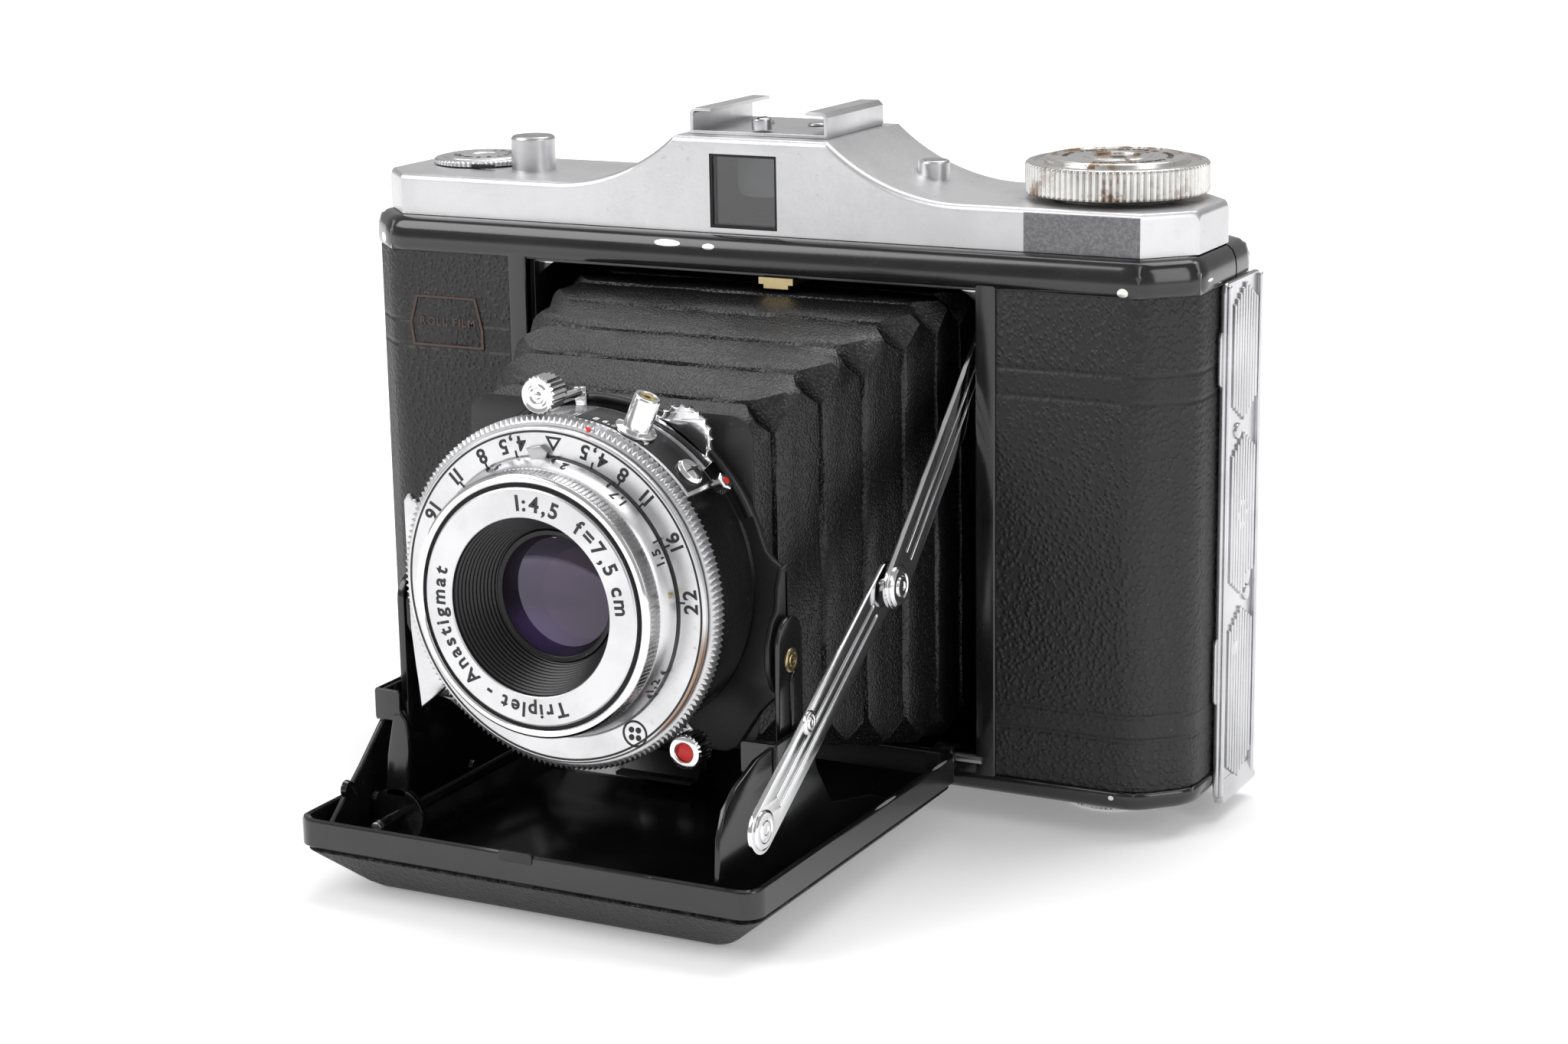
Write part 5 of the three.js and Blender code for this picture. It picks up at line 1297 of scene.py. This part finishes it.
def lever_pieces():
    """Aperture scale and lever, flash socket, cocking, self-timer and release levers."""
    add("aperture_scale_edge", sector("edge", 23.25, 24.0, 38, 103, -54.1, -46.5, 0.12), "standard", "dial",
        ("aperture_scale",))
    add("aperture_scale_face", sector("face", 23.5, 24.12, 39.3, 86, -53.5, -47.1, 0.05), "standard", "anodised")
    add("aperture_scale_plain", sector("plain", 23.5, 24.1, 87, 101.5, -53.5, -47.1, 0.05), "standard", "satin")
    marks = []
    for label, angle in (("4,5", 60), ("5,6", 72), ("8", 79), ("11", 86)):
        def place(x, angle=angle):
            m = Matrix.Translation((0, -52.4, LENS_Z)) @ Matrix.Rotation(
                math.radians(90 - angle - math.degrees(x / 24.1)), 4, "Y")
            return m @ Matrix.Translation((0, 0, 24.13))
        meshes, _ = glyphs("scale", label, 1.5, place, 0.01)
        marks += meshes
    add("aperture_numbers", merged("marks", marks), "standard", "white")
    screw = standing("screw", [(0, 24.0), (2.0, 24.0), (2.05, 24.45), (1.7, 24.95), (0, 25.15)], 45, -50.4)
    add("plate_screw", screw, "standard", "chrome", ("scale_screw",))
    # A thin matt black bar across the screw's head: painted shade standing for its slot.
    slot = standing("slot", [(0, 24.98), (0.2, 24.98), (0.2, 25.2), (0, 25.2)], 45, -50.4, 4, 0)
    for vert in slot.vertices:
        local = vert.co / MM - SHIFT
        local.y = -50.4 + (local.y + 50.4) * 8.5
        vert.co = at(*local)
    add("plate_screw_slot", slot, "standard", "inner")
    socket = standing("socket", [(0, 24.1), (2.9, 24.1), (2.9, 24.5), (1.95, 24.7), (1.85, 29.2), (1.7, 29.45),
                                 (1.25, 29.45), (1.15, 28.6), (0, 28.6)], 67, -51.0, 48)
    add("socket", socket, "standard", "chrome", ("sync_socket",))
    core = standing("core", [(0.45, 28.5), (1.2, 28.5), (1.2, 29.35), (0.45, 29.35)], 67, -51.0, 40, 0.05)
    add("socket_core", core, "standard", "brass")
    lx, lz = spot(56, 25.0)
    fan = []
    for i in range(0, 121):
        t = math.radians(-34 + 180 * i / 120)
        r = 4.55 - 0.42 * abs(math.sin(i / 120 * math.pi * 10)) ** 0.6
        fan.append((lx + r * math.cos(t), lz + r * math.sin(t)))
    lever = merged("lever", [plate("fan", [fan], "Y", -46.5, -45.6, 0.12, 2),
                             sector("arm", 23.4, 25.6, 44, 68, -46.5, -45.7)])
    add("stop_lever", lever, "aperture_lever", "chrome", ("aperture_lever",))
    index = standing("index", [(0, 24.3), (1.3, 24.3), (1.3, 25.8), (1.0, 26.0), (0, 26.0)], 37, -46.9, 6)
    add("stop_index", index, "aperture_lever", "chrome")
    mark = standing("mark", [(0, 25.95), (0.5, 25.95), (0.5, 26.08), (0, 26.08)], 37, -46.9, 16, 0)
    add("stop_index_mark", mark, "aperture_lever", "red")
    cx, cz = spot(94, 27.3)
    knob = [(0, -57.4), (0.35, -57.35), (0.6, -57.05), (0.95, -57.05), (1.15, -57.3), (1.45, -57.3),
            (1.6, -57.05), (1.95, -57.1), (2.35, -57.2), (2.6, -56.9), (2.6, -53.8), (2.3, -53.4), (0, -53.4)]
    cock = lathe("knob", knob, "Y", (cx, cz), COCK_TEETH * 6, 0.05, toothed(COCK_TEETH, 0.3, 2.5))
    add("cocking_knob", merged("cock", [
        cock, lathe("shank", [(0, -53.6), (0.7, -53.6), (0.7, -45.5), (0, -45.5)], "Y", spot(94, 25.8), 24, 0.05),
        sector("arm", 23.4, 26.5, 92, 96, -46.4, -45.5)]), "cocking_lever", "chrome", ("cocking_lever",), angle=40)
    tx, tz = spot(-46.5, 27.3)
    timer = [(1.35, -56.6), (1.5, -56.75), (2.2, -56.6), (2.5, -56.2), (2.5, -53.4), (2.3, -53.0), (0, -53.0),
             (0, -56.1), (1.35, -56.1)]
    add("timer_knob", merged("timer", [
        lathe("timer", timer, "Y", (tx, tz), TIMER_TEETH * 6, 0.05, toothed(TIMER_TEETH, 0.2, 2.4)),
        sector("arm", 23.5, 27.4, -49, -43, -53.8, -53.0)]), "self_timer_lever", "chrome",
        ("self_timer_lever",), angle=40)
    add("timer_dot", lathe("dot", [(0, -56.5), (0.7, -56.42), (1.3, -56.2), (1.3, -56.0), (0, -56.0)], "Y",
                           (tx, tz), 32, 0.03), "self_timer_lever", "red")
    wing = [(-27.0, 18.4), (-24.2, 20.6), *arc(0, LENS_Z, 24.0, 216, 164, 16)]
    teeth_side = [(-24.2 - 0.45 * i, 46.6 + 0.35 * i + (0.4 if i % 2 else 0)) for i in range(9)]
    add("release_wing", merged("wing", [
        plate("wing", [wing + teeth_side + [(-28.4, 48.4), (-28.2, 30.0)]], "Y", -50.8, -49.8, 0.2, 2),
        sector("arm", 23.5, 27.0, 168, 176, -50.7, -49.8)]), "release_arm", "satin", ("release_arm",))
    add("ring_index", plate("index", [[spot(76.2, 23.5), spot(75.0, 24.3), spot(77.4, 24.3)]], "Y", -57.12, -57.0,
                            0.01, 1), "speed_ring", "red")


# ------------------------------------------------------------------ studio
def studio():
    """White paper floor, soft lights and the photo's camera."""
    floor_mesh = bpy.data.meshes.new("floor")
    half = 6.0
    floor_mesh.from_pydata([(-half, -half, 0), (half, -half, 0), (half, half, 0), (-half, half, 0)], [],
                           [(0, 1, 2, 3)])
    floor = bpy.data.objects.new("floor", floor_mesh)
    bpy.context.scene.collection.objects.link(floor)
    ground = bpy.data.materials.new("paper")
    ground.use_nodes = True
    shader = ground.node_tree.nodes["Principled BSDF"]
    shader.inputs["Base Color"].default_value = (0.93, 0.93, 0.93, 1.0)
    shader.inputs["Roughness"].default_value = 0.75
    shader.inputs["Specular IOR Level"].default_value = 0.2
    shader.inputs["Emission Color"].default_value = (1.0, 1.0, 1.0, 1.0)
    links, tree = ground.node_tree.links, ground.node_tree.nodes
    place, length, glow = (tree.new(kind) for kind in (
        "ShaderNodeTexCoord", "ShaderNodeVectorMath", "ShaderNodeMapRange"))
    length.operation = "LENGTH"
    for key, value in (("From Min", 0.25), ("From Max", 1.1), ("To Min", 0.24), ("To Max", 0.75)):
        glow.inputs[key].default_value = value
    links.new(place.outputs["Object"], length.inputs[0])
    links.new(length.outputs["Value"], glow.inputs["Value"])
    links.new(glow.outputs["Result"], shader.inputs["Emission Strength"])
    floor_mesh.materials.append(ground)
    world = bpy.data.worlds.new("studio")
    world.use_nodes = True
    background = world.node_tree.nodes["Background"]
    background.inputs["Color"].default_value = (1.0, 1.0, 1.0, 1.0)
    rays = world.node_tree.nodes.new("ShaderNodeLightPath")
    seen = world.node_tree.nodes.new("ShaderNodeMapRange")
    seen.inputs["To Min"].default_value = 0.42
    seen.inputs["To Max"].default_value = 1.0
    world.node_tree.links.new(rays.outputs["Is Camera Ray"], seen.inputs["Value"])
    world.node_tree.links.new(seen.outputs["Result"], background.inputs["Strength"])
    bpy.context.scene.world = world
    for name, place, target, size, power in (
            ("key", (-0.85, -0.75, 0.95), (0, 0, 0.05), (0.9, 0.9), 11.0),
            ("fill", (1.1, -0.35, 0.55), (0, 0, 0.05), (0.45, 0.9), 3.4),
            ("top", (0.05, 0.45, 1.15), (0, 0.05, 0.05), (1.3, 0.7), 10.0)):
        light = bpy.data.lights.new(name, "AREA")
        light.shape = "RECTANGLE"
        light.size, light.size_y = size
        light.energy = power
        holder = bpy.data.objects.new(name, light)
        holder.location = place
        holder.rotation_euler = (Vector(target) - Vector(place)).to_track_quat("-Z", "Y").to_euler()
        bpy.context.scene.collection.objects.link(holder)
    camera = bpy.data.cameras.new("camera")
    camera.sensor_width = 36.0
    camera.lens = CAMERA_LENS
    camera.clip_start = 0.01
    holder = bpy.data.objects.new("camera", camera)
    eye, target = at(*CAMERA_EYE), at(*CAMERA_TARGET)
    look = (target - eye).to_track_quat("-Z", "Y").to_matrix().to_4x4()
    holder.matrix_world = Matrix.Translation(eye) @ look @ Matrix.Rotation(math.radians(CAMERA_ROLL), 4, "Z")
    bpy.context.scene.collection.objects.link(holder)
    bpy.context.scene.camera = holder
    bpy.context.scene.view_settings.view_transform = "Standard"


body_pieces()
window_slider()
latch_strip()
cover_pieces()
knob_pieces()
button_pieces()
bellows_piece()
bed_pieces()
strut_pieces()
standard_pieces()
lens_pieces()
lever_pieces()
studio()
